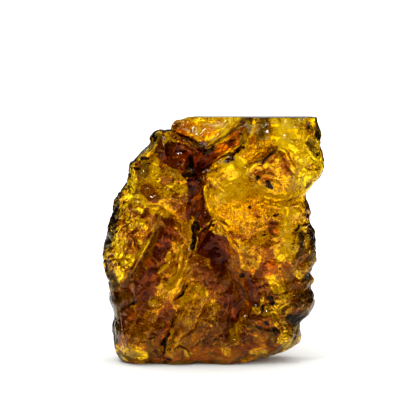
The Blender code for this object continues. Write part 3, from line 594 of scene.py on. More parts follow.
        ([(4.8, 69.6), (8.4, 69.6)], 1.4, 0.8), ([(0.4, 64), (3.2, 66.2), (5.2, 68.6)], 2, 0.9),
        ([(2.6, 64.6), (5, 67.4)], 1.4, 0.6), ([(2.2, 64.2), (4.4, 66.4)], 1.4, 0.6),
        # painted highlight on the knob's top
        ([(-14.8, 66.2), (-13, 66.1)], 1, 0.9),
        # left shoulder, knob and hollow
        ([(-6.4, 62.8), (-3.6, 61.6)], 1, 0.6), ([(-17.5, 62.2), (-19, 60.8), (-20.4, 59.4)], 2.8, 1),
        ([(1.8, 61.2), (3.4, 62.2)], 1.4, 0.6), ([(4.2, 60), (6, 58.4), (7.6, 56.6)], 1.6, 0.8),
        ([(4.6, 58.8), (8, 57.6)], 2.4, 0.8), ([(3.4, 57.4), (6.4, 58.2), (8.6, 56.6)], 3, 0.6),
        ([(-15.8, 57.2), (-16.2, 54.4), (-16, 52)], 2.4, 0.7),
        ([(-22.7, 56.8), (-22.6, 54.6), (-22, 52.6)], 1.8, 1), ([(-22.8, 56.4), (-22.2, 54.8)], 1.4, 1),
        ([(-12.4, 55.2), (-9, 53.8)], 2, 0.5), ([(7, 55.2), (8.4, 54.2)], 1.6, 0.6),
        # painted highlights: a cream spot under the hollow, then a line along the slope's curl
        ([(-6.8, 55.1), (-5.6, 54.9)], 0.9, 1), ([(2.6, 52), (5.4, 52.9), (8.4, 52.6)], 0.7, 0.8),
        # upper right
        ([(17, 69.6), (19.4, 69)], 1.2, 0.8), ([(16.4, 69.2), (20, 69), (24, 69.2)], 1.8, 0.7),
        ([(20, 68.4), (23, 65.6), (24.6, 61)], 2.6, 0.6),
        ([(20, 67.8), (21, 64), (23.4, 62.6), (25.4, 59)], 4.6, 0.9),
        ([(11.4, 67.6), (10.4, 65.4), (9.8, 63.4)], 1.4, 0.4), ([(23.4, 66.6), (24.8, 62.8)], 2.4, 0.6),
        ([(22, 65.4), (25, 63.4)], 2.4, 0.6), ([(18, 64.2), (19.4, 62)], 1.6, 0.8),
        # painted highlight on the roof's apex (first stroke)
        ([(18, 61.2), (19, 61.7), (20.3, 60.9)], 0.8, 1), ([(22.4, 60), (25, 60.6), (30, 57)], 1.8, 0.7),
        # painted highlights along the roof's left ridge
        ([(9.2, 55), (11.2, 56.4), (13.4, 57.6)], 0.9, 1), ([(14.8, 56.6), (16.4, 57.1)], 0.8, 0.9),
        ([(22, 56), (25, 55.6)], 1.6, 0.6), ([(26.4, 53.8), (24.2, 52.8)], 3, 0.9),
        ([(4, 51.4), (9, 49.6), (15, 48.6)], 3.4, 0.5), ([(12.8, 51), (14.4, 48)], 2.4, 0.5),
        ([(13.4, 50.4), (14.6, 48.8)], 1.8, 0.6), ([(2, 50), (8, 49), (14, 49.6), (21, 48.4)], 3, 0.35),
        ([(13.4, 49.4), (15, 48.6)], 1.6, 0.6),
        # left lobe
        ([(-23.8, 51.4), (-22.6, 49.4), (-22, 46.6)], 1.6, 1),
        ([(-25, 50.4), (-23.8, 48.4), (-24.6, 46.4)], 2.6, 1), ([(-22.8, 49.8), (-21.6, 46.6)], 1.8, 0.9),
        ([(-21.6, 46.4), (-20.4, 47.6), (-18.8, 46.2)], 1.8, 0.9), ([(-25.8, 45.4)], 1.6, 0.8),
        ([(-21.8, 44.4), (-20, 44)], 1.2, 0.9), ([(-16.8, 43.4)], 1, 0.8),
        ([(-23, 41.2), (-21.6, 40.4), (-20.4, 40.8)], 2.8, 1), ([(-16.3, 40.6), (-17, 38.6)], 0.7, 1),
        ([(-27.6, 38.2), (-27, 35), (-26.2, 31.4), (-26.6, 27.4), (-26.6, 25.2)], 2.6, 0.75),
        ([(-24.4, 35.6), (-25.2, 34.8)], 1.6, 0.7),
        ([(-18.4, 35.6), (-19.8, 33.2), (-21.6, 30.8), (-23.6, 28.6)], 1.5, 1),
        ([(-20.6, 35), (-19.6, 33)], 1.6, 0.8), ([(-27, 31), (-24.6, 30.2)], 2, 0.9),
        ([(-26.4, 30.6), (-23.4, 30.8)], 1.8, 0.8),
        # channel
        ([(-2.4, 51), (-2, 47.4), (-0.6, 44)], 1, 0.5),
        ([(-6.3, 41.4), (-6.3, 36), (-6.6, 32.4), (-7.2, 29), (-7.8, 26.6)], 0.5, 1),
        ([(-1.4, 39.6), (-2.8, 38.2)], 0.6, 0.8),
        ([(-3, 38), (-4, 37), (-4.5, 35.4), (-4.9, 33.5)], 0.8, 1),
        ([(-1, 35.4), (0.8, 31.6)], 1.4, 0.35),
        # left band
        ([(-15.6, 44.4), (-13.4, 42.8)], 1.8, 0.9), ([(-15.6, 26.3), (-14.2, 28), (-12.8, 29)], 0.9, 0.7),
        ([(-18.6, 28.4), (-17.4, 27)], 1.8, 0.35), ([(-17.4, 18.2), (-15.4, 17.8)], 1.8, 0.5),
        # middle
        ([(-13, 49.6), (-10.6, 50.6), (-8.8, 50)], 2.6, 0.85),
        ([(-14, 46), (-12.4, 45.6), (-12.6, 43)], 1.6, 0.3),
        ([(-9.2, 34), (-8.8, 31), (-8.8, 28), (-9.8, 25)], 1.6, 0.6),
        ([(-14.4, 31.6), (-13, 32.7), (-12.4, 31.2), (-12, 29.8)], 1, 0.7),
        ([(-14, 32.6), (-12, 31.6)], 1.4, 0.5), ([(-9.4, 31.4), (-7.2, 28.4)], 2, 0.5),
        ([(-9.8, 26.4), (-8, 24.6)], 1.8, 0.6), ([(-11.4, 24.6), (-8, 25.6)], 2.4, 0.7),
        ([(-7, 24.8), (-8.6, 23.8)], 0.8, 0.9), ([(-15, 23.4), (-13, 23), (-10.6, 22.6)], 3, 0.5),
        ([(-4, 22.4), (-2.4, 20.6)], 2.2, 0.5), ([(1, 18.4), (1.4, 21.4)], 1.6, 0.2),
        ([(-8, 19.6), (-6, 19.6)], 2, 0.5),
        # right lobe
        ([(5.4, 56), (7.4, 52), (6.4, 47.4)], 2.4, 0.5), ([(3, 48.4), (5, 50.4), (8, 50)], 4, 0.6),
        ([(6.2, 50.4), (7.6, 47.6)], 2, 0.5), ([(6, 48.6), (8.4, 47.6)], 2.2, 0.6),
        ([(20.8, 44), (21.6, 40.6)], 1.8, 0.6), ([(19.6, 43.8), (22.4, 43.6), (23.6, 42.8)], 2, 0.8),
        ([(20.8, 42), (21.2, 40)], 1.6, 0.5), ([(4.4, 41), (6, 38.6)], 1.6, 0.5),
        ([(20.2, 41), (21.4, 36.6), (22, 32)], 2, 0.75), ([(22.2, 39), (20.8, 41)], 1.6, 0.7),
        ([(20.4, 33.6), (21.4, 39.6)], 1.6, 0.6), ([(20.6, 39), (21, 37.4)], 2.2, 0.9),
        ([(17.8, 38.4), (20, 37.4)], 2.2, 0.5), ([(7, 36), (8.6, 33.6)], 1.6, 0.5),
        ([(21.8, 34.4), (22.6, 31.8)], 1.6, 0.7), ([(18.6, 33), (19, 31)], 2.8, 0.9),
        # painted highlight on the oval's rim (second stroke)
        ([(21.4, 33), (22, 31)], 2.2, 0.9), ([(22, 32.8), (23.5, 32.6)], 1.2, 1),
        # right edge
        # painted highlight on the right edge (first stroke)
        ([(26.2, 39), (27.2, 37)], 1.6, 0.8), ([(23.8, 26.4), (24.6, 25.2)], 2, 0.9),
        # low right
        ([(16.4, 25), (17.2, 23.4), (18.2, 21.8)], 2.6, 0.8), ([(17.6, 23), (19.6, 21.6)], 1.8, 0.9),
        ([(13.8, 19.8), (13.6, 18)], 1, 0.7),
        ([(15.2, 16.4), (17.2, 15.4), (19, 17.4), (19.6, 19.6)], 2.4, 0.8),
        ([(12, 17.6), (13.6, 18.4)], 2.2, 0.9), ([(20.4, 16.6), (22, 17.6)], 2, 0.8),
        ([(11.6, 16.6), (12.6, 15.8)], 1.8, 0.7), ([(14.4, 15.6), (18, 15.8), (21.8, 16)], 1.6, 0.7),
        ([(18.8, 12.4), (20.6, 11.6)], 1.4, 0.7),
        # foot
        ([(-6.4, 12.6), (-8, 13.4)], 2, 0.4), ([(-15, 12.4), (-14.2, 11.6)], 1.6, 0.5),
        ([(6.6, 7.2), (6.2, 9.4), (6.6, 11.4)], 1.3, 0.8), ([(5.2, 8), (6.2, 10)], 2, 0.7),
        ([(5.4, 10), (6.4, 7)], 1.8, 0.8), ([(5.8, 9.8), (6.6, 7.6)], 1.6, 0.8),
        ([(-11.4, 9.6), (-10, 7)], 1.6, 0.5), ([(20.2, 9), (20.8, 6.4)], 2.6, 1),
        ([(19.4, 7.4), (20.6, 8.8), (21.8, 7.6), (20.6, 6.2)], 3, 1),
        ([(20.4, 8.6), (20.8, 5.8)], 2.6, 0.9), ([(12.4, 8.4), (14.2, 7.6)], 1.6, 0.2),
        ([(-11.8, 8), (-11.6, 4.8)], 1.2, 0.6), ([(-12.2, 6.4), (-12.6, 4), (-12, 2.6)], 1.4, 0.4),
        ([(3.4, 5.4), (4, 3.4)], 2.2, 0.5),
        # painted light: the bright band low on the left, standing in for floor light seen through the foot
        ([(-25, 4.3), (-23.2, 3.8), (-21, 3.2), (-19.6, 2.9)], 2.6, 1),
        ([(-7.4, 4.2), (-6.6, 3.2)], 1.6, 0.45), ([(11, 3.8), (12.6, 3), (14.6, 3.8)], 1.6, 0.9),
    ],
    "grainy": [
        ([(-8.6, 67), (-4, 66), (2, 66.4), (6, 68.4)], 7, 1),
        ([(4, 50), (8, 44), (10, 36), (10, 30)], 11, 0.3), ([(20, 67), (24, 60), (26, 55)], 9, 0.25),
        ([(-16, 8), (-22, 10), (0, 8), (12, 6)], 8, 0.4), ([(-9, 34), (-10, 24), (-5, 18)], 7, 0.4),
    ],
}

# The back's own stains, as seen through the slab from the front
BACK_STAINS = {
    "smoke": [
        ([(-17, 36), (-21, 27), (-20, 20)], 6, 0.7), ([(2, 33), (6, 22), (7, 9)], 7, 0.7),
        ([(-10, 60), (-3, 57)], 6, 0.8), ([(24, 20), (20, 12)], 5, 0.6),
    ],
    "maroon": [
        ([(-4.6, 54), (-4.4, 44)], 4.6, 0.9), ([(-9, 59), (-4, 58)], 4, 0.7),
        ([(9, 22), (12, 20)], 4, 0.7),
    ],
    "olive": [
        ([(24, 50), (26, 40)], 4, 0.4), ([(14.4, 69), (13.6, 65)], 4, 0.8),
        ([(8.6, 69), (7.8, 64)], 3, 0.5), ([(-14, 63)], 5, 0.5),
    ],
    "clear": [
        ([(22, 62), (24, 54)], 8, 0.5), ([(-24, 50), (-26, 34)], 7, 0.8), ([(-25, 8), (-18, 7)], 7, 0.3),
        ([(20, 9)], 5, 0.4), ([(5, 56), (16, 57), (28, 60)], 6, 0.5),
    ],
    "speckled": [
        ([(-10, 48), (-16, 54)], 8, 0.4), ([(18, 18), (14, 10)], 8, 0.5),
    ],
}

# Reach over which a stain fades at its edge, and how much of a front stain shows on the back
STAIN_EDGES = {
    "haze": 5.0, "smoke": 1.1, "maroon": 0.8, "ember": 1.6, "crust": 1.0, "soot": 0.5, "olive": 1.4,
    "clear": 0.9, "speckled": 2.5, "grainy": 2.0,
}
STAIN_BACKS = {
    "haze": 0.5, "smoke": 0.4, "maroon": 0.4, "ember": 0.2, "crust": 0.8, "soot": 0.0, "olive": 0.4,
    "clear": 0.3, "speckled": 0.2, "grainy": 0.5,
}

# The floor, in metres
FLOOR_RADIUS = 0.6
FLOOR_FADE = (0.2, 0.5)
FLOOR_COLOUR = (0.80, 0.797, 0.775)
FLOOR_ROUGHNESS = 0.9

# Light from all round. Each band is (low, high, light below it, light above it), by how far up a ray
# points or, for the wall and the floor's glow, by how far back.
PANELS = 8.0
PANEL_EDGES = (-0.9, 0.5, 0.5, 1.0)  # by the wave that makes the ring's gaps and panels
RING_TOP = (0.25, 0.8, 1.0, 0.35)
RING_LIGHT = 1.85
SOFTBOX = (0.95, 0.97, 0.0, 3.5)
GLINT_DIRECTION = (-0.22, -0.5, 0.837)
GLINT = (0.992, 0.995, 0.0, 13.0)  # by how squarely a ray goes that way
WALL = (0.9, 0.99, 0.0, 0.3)
WALL_FOOT = (0.0, 0.06, 0.3, 1.0)
DIM_ROOM = 0.06
FLOOR_GLOW = (-0.8, 0.8, 1.25, 0.95)

# The key light and the camera, in metres
KEY_PLACE = (-0.15, -0.35, 0.6)
KEY_AIM = (0.0, 0.0, 0.03)
KEY_SIZE = 0.05
KEY_POWER = 0.6
LENS = 136.3
EYE = (-0.001355, -0.44829, 0.0832)
AIM = (-0.001355, 0.0, 0.0440)


def smooth_step(t):
    t = np.clip(t, 0.0, 1.0)
    return t * t * (3.0 - 2.0 * t)


def nearest_on_path(places, path):
    """For each place: its distance to the path, and how far along the path that is."""
    ends = [np.array(point, float) for point in path]
    offset = places - ends[0]
    reach = np.hypot(offset[:, 0], offset[:, 1])
    along = np.full(len(places), 0.5 if len(path) == 1 else 0.0)
    pieces = len(ends) - 1
    for i in range(pieces):
        start, run = ends[i], ends[i + 1] - ends[i]
        t = np.clip((places - start) @ run / (run @ run), 0.0, 1.0)
        offset = places - start - t[:, None] * run
        distance = np.hypot(offset[:, 0], offset[:, 1])
        closer = distance < reach
        reach[closer] = distance[closer]
        along[closer] = (i + t[closer]) / pieces
    return reach, along


def noise_at(points, grain, seed):
    """Smooth noise from -1 to 1, in grains of that size."""
    shift = Vector((seed, 2.0 * seed, 3.0 * seed))
    return np.array([noise.noise(Vector(point) / grain + shift) for point in points])


def lumps_at(points, grain, seed):
    """Rounded lumps from 0, in the sharp creases between them, to 1."""
    noise.seed_set(LUMP_BEND_SEED)
    shift = Vector((seed, 2.0 * seed, 3.0 * seed))
    rise = np.empty(len(points))
    for i, point in enumerate(points):
        near = Vector(point) / grain + shift
        near += LUMP_BEND * noise.noise_vector(near * LUMP_BEND_GRAIN)
        reach = noise.voronoi(near)[0]
        rise[i] = reach[1] - reach[0]
    return smooth_step(rise / CREASE_WIDTH)


def wandered(points):
    """The points' places across and up the slab, each shifted a little so that lines wander."""
    places = points[:, [0, 2]].copy()
    for grain, reach, seed in WANDER:
        places[:, 0] += reach * noise_at(points, grain, seed)
        places[:, 1] += reach * noise_at(points, grain, seed + 1)
    return places


def points_of(mesh):
    flat = np.empty(3 * len(mesh.vertices), np.float32)
    mesh.vertices.foreach_get("co", flat)
    return flat.reshape(-1, 3).astype(float)


def normals_of(mesh):
    flat = np.empty(3 * len(mesh.vertices), np.float32)
    mesh.vertex_normals.foreach_get("vector", flat)
    return flat.reshape(-1, 3).astype(float)


def place_points(mesh, points):
    mesh.vertices.foreach_set("co", points.astype(np.float32).ravel())
    mesh.update()


def smoothed(mesh, rounds, chosen=None):
    """Where the mesh's points come to rest after rounds of smoothing, of all or of the chosen ones."""
    bm = bmesh.new()
    bm.from_mesh(mesh)
    bm.verts.ensure_lookup_table()
    verts = bm.verts if chosen is None else [bm.verts[i] for i in chosen]
    for _ in range(rounds):
        bmesh.ops.smooth_vert(bm, verts=verts, factor=0.5, use_axis_x=True, use_axis_y=True, use_axis_z=True)
    points = np.array([vert.co[:] for vert in bm.verts])
    bm.free()
    return points


def modified(mesh, kind, **settings):
    """The mesh as one modifier leaves it."""
    stand_in = bpy.data.objects.new("stand_in", mesh)
    bpy.context.scene.collection.objects.link(stand_in)
    modifier = stand_in.modifiers.new(kind, kind)
    for name, value in settings.items():
        setattr(modifier, name, value)
    depsgraph = bpy.context.evaluated_depsgraph_get()
    result = bpy.data.meshes.new_from_object(stand_in.evaluated_get(depsgraph))
    bpy.data.objects.remove(stand_in)
    return result


def fine_surface():
    """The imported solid's surface in millimetres, rebuilt in fine even faces without its facets."""
    bm = bmesh.new()
    bm.from_mesh(frame["nodes"][NODE].data)
    bmesh.ops.scale(bm, vec=Vector((1.0, 1.0, 1.0)) / MM, verts=bm.verts)
    bmesh.ops.remove_doubles(bm, verts=bm.verts, dist=MERGE)
    mesh = bpy.data.meshes.new("resin_skin")
    bm.to_mesh(mesh)
    bm.free()
    mesh = modified(mesh, "REMESH", mode="VOXEL", voxel_size=VOXEL)
    place_points(mesh, smoothed(mesh, SMOOTHINGS))
    return mesh


def frontness(points, normals):
    """1 on the front, 0 on the back, with a soft change along the rim."""
    return smooth_step(0.5 - points[:, 1] / FRONT_DEPTH - FRONT_TURN * normals[:, 1])


def blurred(grid):
    """The grid evened out over BACK_BLUR both ways."""
    reach = np.arange(-BELL_REACH * BACK_BLUR, BELL_REACH * BACK_BLUR + 0.1, BACK_CELL)
    bell = np.exp(-0.5 * (reach / BACK_BLUR) ** 2)
    for _ in range(2):
        grid = np.array([np.convolve(row, bell, "same") for row in grid]).T
    return grid


def evened_depth(points, turn):
    """The depth of the face that has this turn, evened out and carried on past its rim."""
    places = (points[:, [0, 2]] - points[:, [0, 2]].min(axis=0)) / BACK_CELL + 1.0
    low = places.astype(int)
    part = places - low
    flat = turn > FACE_TURN
    weights = np.zeros(low.max(axis=0) + 3)
    sums = np.zeros_like(weights)
    np.add.at(weights, tuple(low[flat].T), 1.0)
    np.add.at(sums, tuple(low[flat].T), points[flat, 1])
    level = blurred(sums) / (blurred(weights) + TINY)
    height = np.zeros(len(points))
    for i in (0, 1):
        for j in (0, 1):
            share = np.abs(1.0 - i - part[:, 0]) * np.abs(1.0 - j - part[:, 1])
            height += share * level[low[:, 0] + i, low[:, 1] + j]
    return height


def level_faces(mesh):
    """Evens out the back, whose folds would show through the slab as lines, and squares thin rims.

    Both let light straight through, as a rounded rim wouldn't.
    """
    points = points_of(mesh)
    turn = normals_of(mesh)[:, 1]
    moved = smooth_step((turn - RIM_TURN) / RIM_REACH) * smooth_step(points[:, 2] / FOOT_ROOM)
    points[:, 1] += moved * (evened_depth(points, turn) - points[:, 1])
    thin = sum(furrow(points[:, [0, 2]], *rim) for rim in THIN_RIMS)
    thin *= smooth_step((-turn - RIM_TURN) / RIM_REACH)
    points[:, 1] += np.clip(thin, 0.0, 1.0) * (evened_depth(points, -turn) - points[:, 1])
    place_points(mesh, points)
    place_points(mesh, smoothed(mesh, BACK_SMOOTHINGS, np.flatnonzero(moved > BACK_MOVED)))


def furrow(places, path, width, height):
    """A ridge along a path, or a furrow with a negative height, lower towards both ends."""
    reach, along = nearest_on_path(places, path)
    ends = smooth_step(along / LINE_ENDS) * smooth_step((1.0 - along) / LINE_ENDS)
    return height * (END_HEIGHT + (1.0 - END_HEIGHT) * ends) * smooth_step(1.0 - 2.0 * reach / width)


def wrinkles(places, y):
    """Short curved ridges and furrows at random, each on one face."""
    draw = random.Random(WRINKLE_SEED)
    relief = np.zeros(len(places))
    for _ in range(WRINKLES):
        across = draw.uniform(-WRINKLE_SPREAD, WRINKLE_SPREAD)
        up = draw.uniform(WRINKLE_MARGIN, HEIGHT - WRINKLE_MARGIN)
        centre = np.array([across, up])
        face = draw.choice((-1.0, 1.0))
        turn = draw.uniform(0.0, math.pi)
        bend = draw.uniform(-WRINKLE_BEND, WRINKLE_BEND)
        length = draw.uniform(*WRINKLE_LENGTH)
        width = draw.uniform(*WRINKLE_WIDTH)
        height = draw.uniform(*WRINKLE_HEIGHT) * draw.choice((-1.0, 1.0))
        path = [
            centre + 0.5 * length * t * np.array([math.cos(turn + bend * t), math.sin(turn + bend * t)])
            for t in (-1.0, -0.33, 0.33, 1.0)
        ]
        near = (np.abs(places - centre).max(axis=1) < 0.5 * length + width) & (y * face > 0.0)
        relief[near] += furrow(places[near], path, width, height)
    return relief


def liveliness(places, front):
    """How strong the grain is: below 1 on plain faces, above 1 on lumpy ones."""
    lively = PLAIN_GRAIN + front * sum(furrow(places, *zone) for zone in LIVELINESS)
    return np.clip(lively, *LIVELY_LIMITS)


def carve(mesh):
    """Cuts the cracks, and raises the ridges, wrinkles and grain."""
    points = points_of(mesh)
    places = wandered(points)
    front = frontness(points, normals_of(mesh))
    painted(mesh, "front", front)
    relief = sum(furrow(places, *line) for line in FRONT_LINES.values()) * front
    lively = liveliness(places, front) * (BACK_RELIEF + (1.0 - BACK_RELIEF) * front)
    relief += lively * wrinkles(places, points[:, 1])
    for grain, height, seed in GRAIN:
        relief += lively * height * noise_at(points, grain, seed)
    for grain, height, seed in LUMPS:
        relief += lively * height * (lumps_at(points, grain, seed) - 0.5)
    level = smooth_step((HEIGHT - points[:, 2]) / LEVEL_ROOM) * smooth_step(points[:, 2] / LEVEL_ROOM)
    points += normals_of(mesh) * (relief * (LEVEL_RELIEF + (1.0 - LEVEL_RELIEF) * level))[:, None]
    points[:, 1] += sum(furrow(places, *groove) for groove in FRONT_GROOVES.values()) * front
    points[:, 2] = np.clip(points[:, 2], 0.0, HEIGHT)
    place_points(mesh, points)


def thinned(mesh):
    """The mesh in fewer triangles, kept where the surface bends most."""
    count = sum(len(face.vertices) - 2 for face in mesh.polygons)
    return modified(mesh, "DECIMATE", ratio=TRIANGLES / count, use_collapse_triangulate=True)


def painted(mesh, name, values):
    layer = mesh.attributes.new(name, "FLOAT", "POINT")
    layer.data.foreach_set("value", values.astype(np.float32))


def paint_of(mesh, name):
    values = np.empty(len(mesh.vertices), np.float32)
    mesh.attributes[name].data.foreach_get("value", values)
    return values.astype(float)


def sunken(mesh):
    """How far each point lies below its surroundings, in millimetres."""
    around = smoothed(mesh, HOLLOW_SHADE_SMOOTHINGS)
    return ((around - points_of(mesh)) * normals_of(mesh)).sum(axis=1)


def strokes(places, marks, edge):
    """How deep the stains of one kind are at each place."""
    depth = np.zeros(len(places))
    for path, width, strength in marks:
        reach, _ = nearest_on_path(places, path)
        depth = np.maximum(depth, strength * smooth_step(0.5 + (0.5 * width - reach) / edge))
    return depth


def stain(mesh):
    """Paints each kind of stain as an attribute of its own, and the painted shade in the hollows."""
    points = points_of(mesh)
    places = wandered(points)
    front = paint_of(mesh, "front")
    for kind, marks in FRONT_STAINS.items():
        through = STAIN_BACKS[kind] + (1.0 - STAIN_BACKS[kind]) * front
        depth = strokes(places, marks, STAIN_EDGES[kind]) * through
        behind = strokes(places, BACK_STAINS.get(kind, []), STAIN_EDGES[kind]) * (1.0 - front)
        painted(mesh, kind, np.maximum(depth, behind))
    # painted shade: darker where the surface lies lower than around it
    painted(mesh, "hollow_shade", np.clip(sunken(mesh) / HOLLOW_SHADE_DEPTH, -1.0, 1.0))
    painted(mesh, "lively", liveliness(places, front))
    painted(mesh, "streaky", np.clip(front * sum(furrow(places, *zone) for zone in STREAKS), 0.0, 1.0))


def linked(tree, kind, sockets, **settings):
    """A new node, with its settings, and its inputs given values or linked to other nodes' outputs."""
    made = tree.nodes.new(kind)
    for name, value in settings.items():
        setattr(made, name, value)
    for name, value in sockets.items():
        if isinstance(value, bpy.types.NodeSocket):
            tree.links.new(value, made.inputs[name])
        else:
            made.inputs[name].default_value = value
    return made


def math_of(tree, operation, a, b=0.0):
    return linked(tree, "ShaderNodeMath", {0: a, 1: b}, operation=operation).outputs[0]


def mapped(tree, value, low, high, to_low, to_high):
    """Smoothly from to_low, where the value is low, to to_high, where it is high."""
    made = linked(
        tree, "ShaderNodeMapRange",
        {"Value": value, "From Min": low, "From Max": high, "To Min": to_low, "To Max": to_high},
        interpolation_type="SMOOTHSTEP",
    )
    return made.outputs["Result"]


def resin():
    """Clear resin. What is in it tints its skin, on the front and on the back, with painted shade in its
    hollows and painted highlights along a few ridges among it.
    """
    material = bpy.data.materials.new("copal_resin_finish")
    material.use_nodes = True
    tree = material.node_tree
    shader = tree.nodes["Principled BSDF"]
    shader.inputs["IOR"].default_value = IOR
    shader.inputs["Specular Tint"].default_value = (*SHINE_TINT, 1.0)
    shader.inputs["Transmission Weight"].default_value = 1.0
    absorption = linked(
        tree, "ShaderNodeVolumeAbsorption", {"Color": (*RESIN_TINT, 1.0), "Density": RESIN_DENSITY}
    )
    tree.links.new(absorption.outputs["Volume"], tree.nodes["Material Output"].inputs["Volume"])
    place = linked(tree, "ShaderNodeTexCoord", {}).outputs["Object"]

    def grains(at, per_metre, detail, distortion):
        made = linked(
            tree, "ShaderNodeTexNoise",
            {"Vector": at, "Scale": per_metre, "Detail": detail, "Distortion": distortion},
        )
        return made.outputs["Fac"]

    def pattern(name):
        return mapped(tree, grains(place, *PATTERNS[name][:3]), *PATTERNS[name][3:])

    def attribute(name):
        return linked(tree, "ShaderNodeAttribute", {}, attribute_name=name).outputs["Fac"]

    def sum_of(a, b):
        return math_of(tree, "ADD", a, b)

    def product(a, b):
        return math_of(tree, "MULTIPLY", a, b)

    def lines_in(value, half_width):
        """Thin lines where the value crosses its middle."""
        size = math_of(tree, "ABSOLUTE", math_of(tree, "SUBTRACT", value, 0.5))
        return mapped(tree, size, LINE_CORE * half_width, half_width, 1.0, 0.0)

    def mixed(factor, under, over):
        made = tree.nodes.new("ShaderNodeMix")
        made.data_type = "RGBA"
        tree.links.new(factor, made.inputs[0])
        tree.links.new(under, made.inputs[6])
        made.inputs[7].default_value = (*over, 1.0)
        return made.outputs[2]

    lively = attribute("lively")
    upright = linked(
        tree, "ShaderNodeVectorRotate", {"Vector": place, "Angle": math.radians(-STREAK_TURN)},
        rotation_type="Y_AXIS",
    ).outputs["Vector"]
    drawn_out = linked(
        tree, "ShaderNodeVectorMath", {0: upright, 1: STREAK_STRETCH}, operation="MULTIPLY"
    ).outputs["Vector"]
    streak = grains(drawn_out, *STREAK_GRAIN)
    streak_lines = product(lines_in(streak, STREAK_LINE), STREAK_LINE_SMOKE)
    streaks = product(sum_of(mapped(tree, streak, *STREAK_SMOKE), streak_lines), attribute("streaky"))
    fine = pattern("fine")
    ragged = pattern("ragged")
    swirl = grains(place, *SWIRL)
    creases = product(product(lines_in(swirl, CREASE_LINE), pattern("creased")), lively)

    def stained(kind):
        sets_in, full, raggedness = STAIN_LOOKS[kind]
        rough_edge = sum_of(product(ragged, raggedness), product(fine, FINE_EDGE))
        return mapped(tree, sum_of(attribute(kind), rough_edge), sets_in, full, 0.0, 1.0)

    # Gold to dark brown, by how much smoke is in the way, with the painted shade of the hollows added as
    # smoke
    maroon = stained("maroon")
    depth = sum_of(stained("smoke"), mapped(tree, attribute("hollow_shade"), *HOLLOW_SHADE_SMOKE))
    depth = sum_of(depth, product(sum_of(pattern("clouds"), pattern("specks")), lively))
    depth = sum_of(depth, product(pattern("pepper"), mapped(tree, lively, *LIVELY_PEPPER)))
    depth = sum_of(sum_of(depth, attribute("haze")), sum_of(pattern("mottle"), PLAIN_SMOKE))
    depth = sum_of(sum_of(depth, streaks), product(maroon, MAROON_SMOKE))
    depth = sum_of(sum_of(depth, product(creases, CREASE_SMOKE)), product(fine, FINE_SMOKE))
    depth = sum_of(depth, product(pattern("grit"), GRIT_SMOKE))
    ramp = linked(tree, "ShaderNodeValToRGB", {"Fac": depth})
    stops = ramp.color_ramp.elements
    while len(stops) < len(SMOKE_COLOURS):
        stops.new(1.0)
    for stop, (at, colour) in zip(stops, SMOKE_COLOURS):
        stop.position = at
        stop.color = (*colour, 1.0)

    # What is laid over that, from the clear places, some of them painted highlights, to the soot
    grainy = sum_of(mapped(tree, lively, *LIVELY_GRAIN), attribute("grainy"))
    layers = {
        "clear": stained("clear"),
        "grainy": product(pattern("grain"), grainy),
        "olive": stained("olive"),
        "maroon": maroon,
        "ember": stained("ember"),
        "crust": stained("crust"),
        "speckled": product(stained("speckled"), pattern("flecks")),
        "soot": stained("soot"),
    }
    colour = ramp.outputs["Color"]
    for kind, factor in layers.items():
        colour = mixed(factor, colour, STAIN_COLOURS[kind])
    tree.links.new(colour, shader.inputs["Base Color"])
    tree.links.new(pattern("gloss"), shader.inputs["Roughness"])
    height = sum_of(product(swirl, lively), product(creases, CREASE_BUMP))
    height = sum_of(height, product(streaks, STREAK_BUMP))
    bump = linked(
        tree, "ShaderNodeBump", {"Strength": BUMP_STRENGTH, "Distance": BUMP_DISTANCE, "Height": height}
    )
    tree.links.new(bump.outputs["Normal"], shader.inputs["Normal"])
    return material


def skin():
    """The whole piece of copal."""
    mesh = fine_surface()
    level_faces(mesh)
    carve(mesh)
    mesh = thinned(mesh)
    stain(mesh)
    place_points(mesh, points_of(mesh) * MM)
    mesh.shade_smooth()
    mesh.materials.clear()
    mesh.materials.append(resin())
    piece = bpy.data.objects.new("copal_piece", mesh)
    bpy.context.scene.collection.objects.link(piece)
    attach(piece, BODY)
    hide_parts(NODE)


def floor():
    """A round pale floor that fades into the backdrop well away from the slab."""
    bm = bmesh.new()
    bmesh.ops.create_circle(bm, cap_ends=True, segments=64, radius=FLOOR_RADIUS)
    mesh = bpy.data.meshes.new("studio_floor")
    bm.to_mesh(mesh)
    bm.free()
    material = bpy.data.materials.new("pale_floor")
    material.use_nodes = True
    tree = material.node_tree
    shader = tree.nodes["Principled BSDF"]
    shader.inputs["Base Color"].default_value = (*FLOOR_COLOUR, 1.0)
    shader.inputs["Roughness"].default_value = FLOOR_ROUGHNESS
    shader.inputs["Specular IOR Level"].default_value = 0.0
    place = linked(tree, "ShaderNodeTexCoord", {}).outputs["Object"]
    reach = linked(tree, "ShaderNodeVectorMath", {0: place}, operation="LENGTH").outputs["Value"]
    tree.links.new(mapped(tree, reach, *FLOOR_FADE, 1.0, 0.0), shader.inputs["Alpha"])
    mesh.materials.append(material)
    ground = bpy.data.objects.new("studio_floor", mesh)
    bpy.context.scene.collection.objects.link(ground)


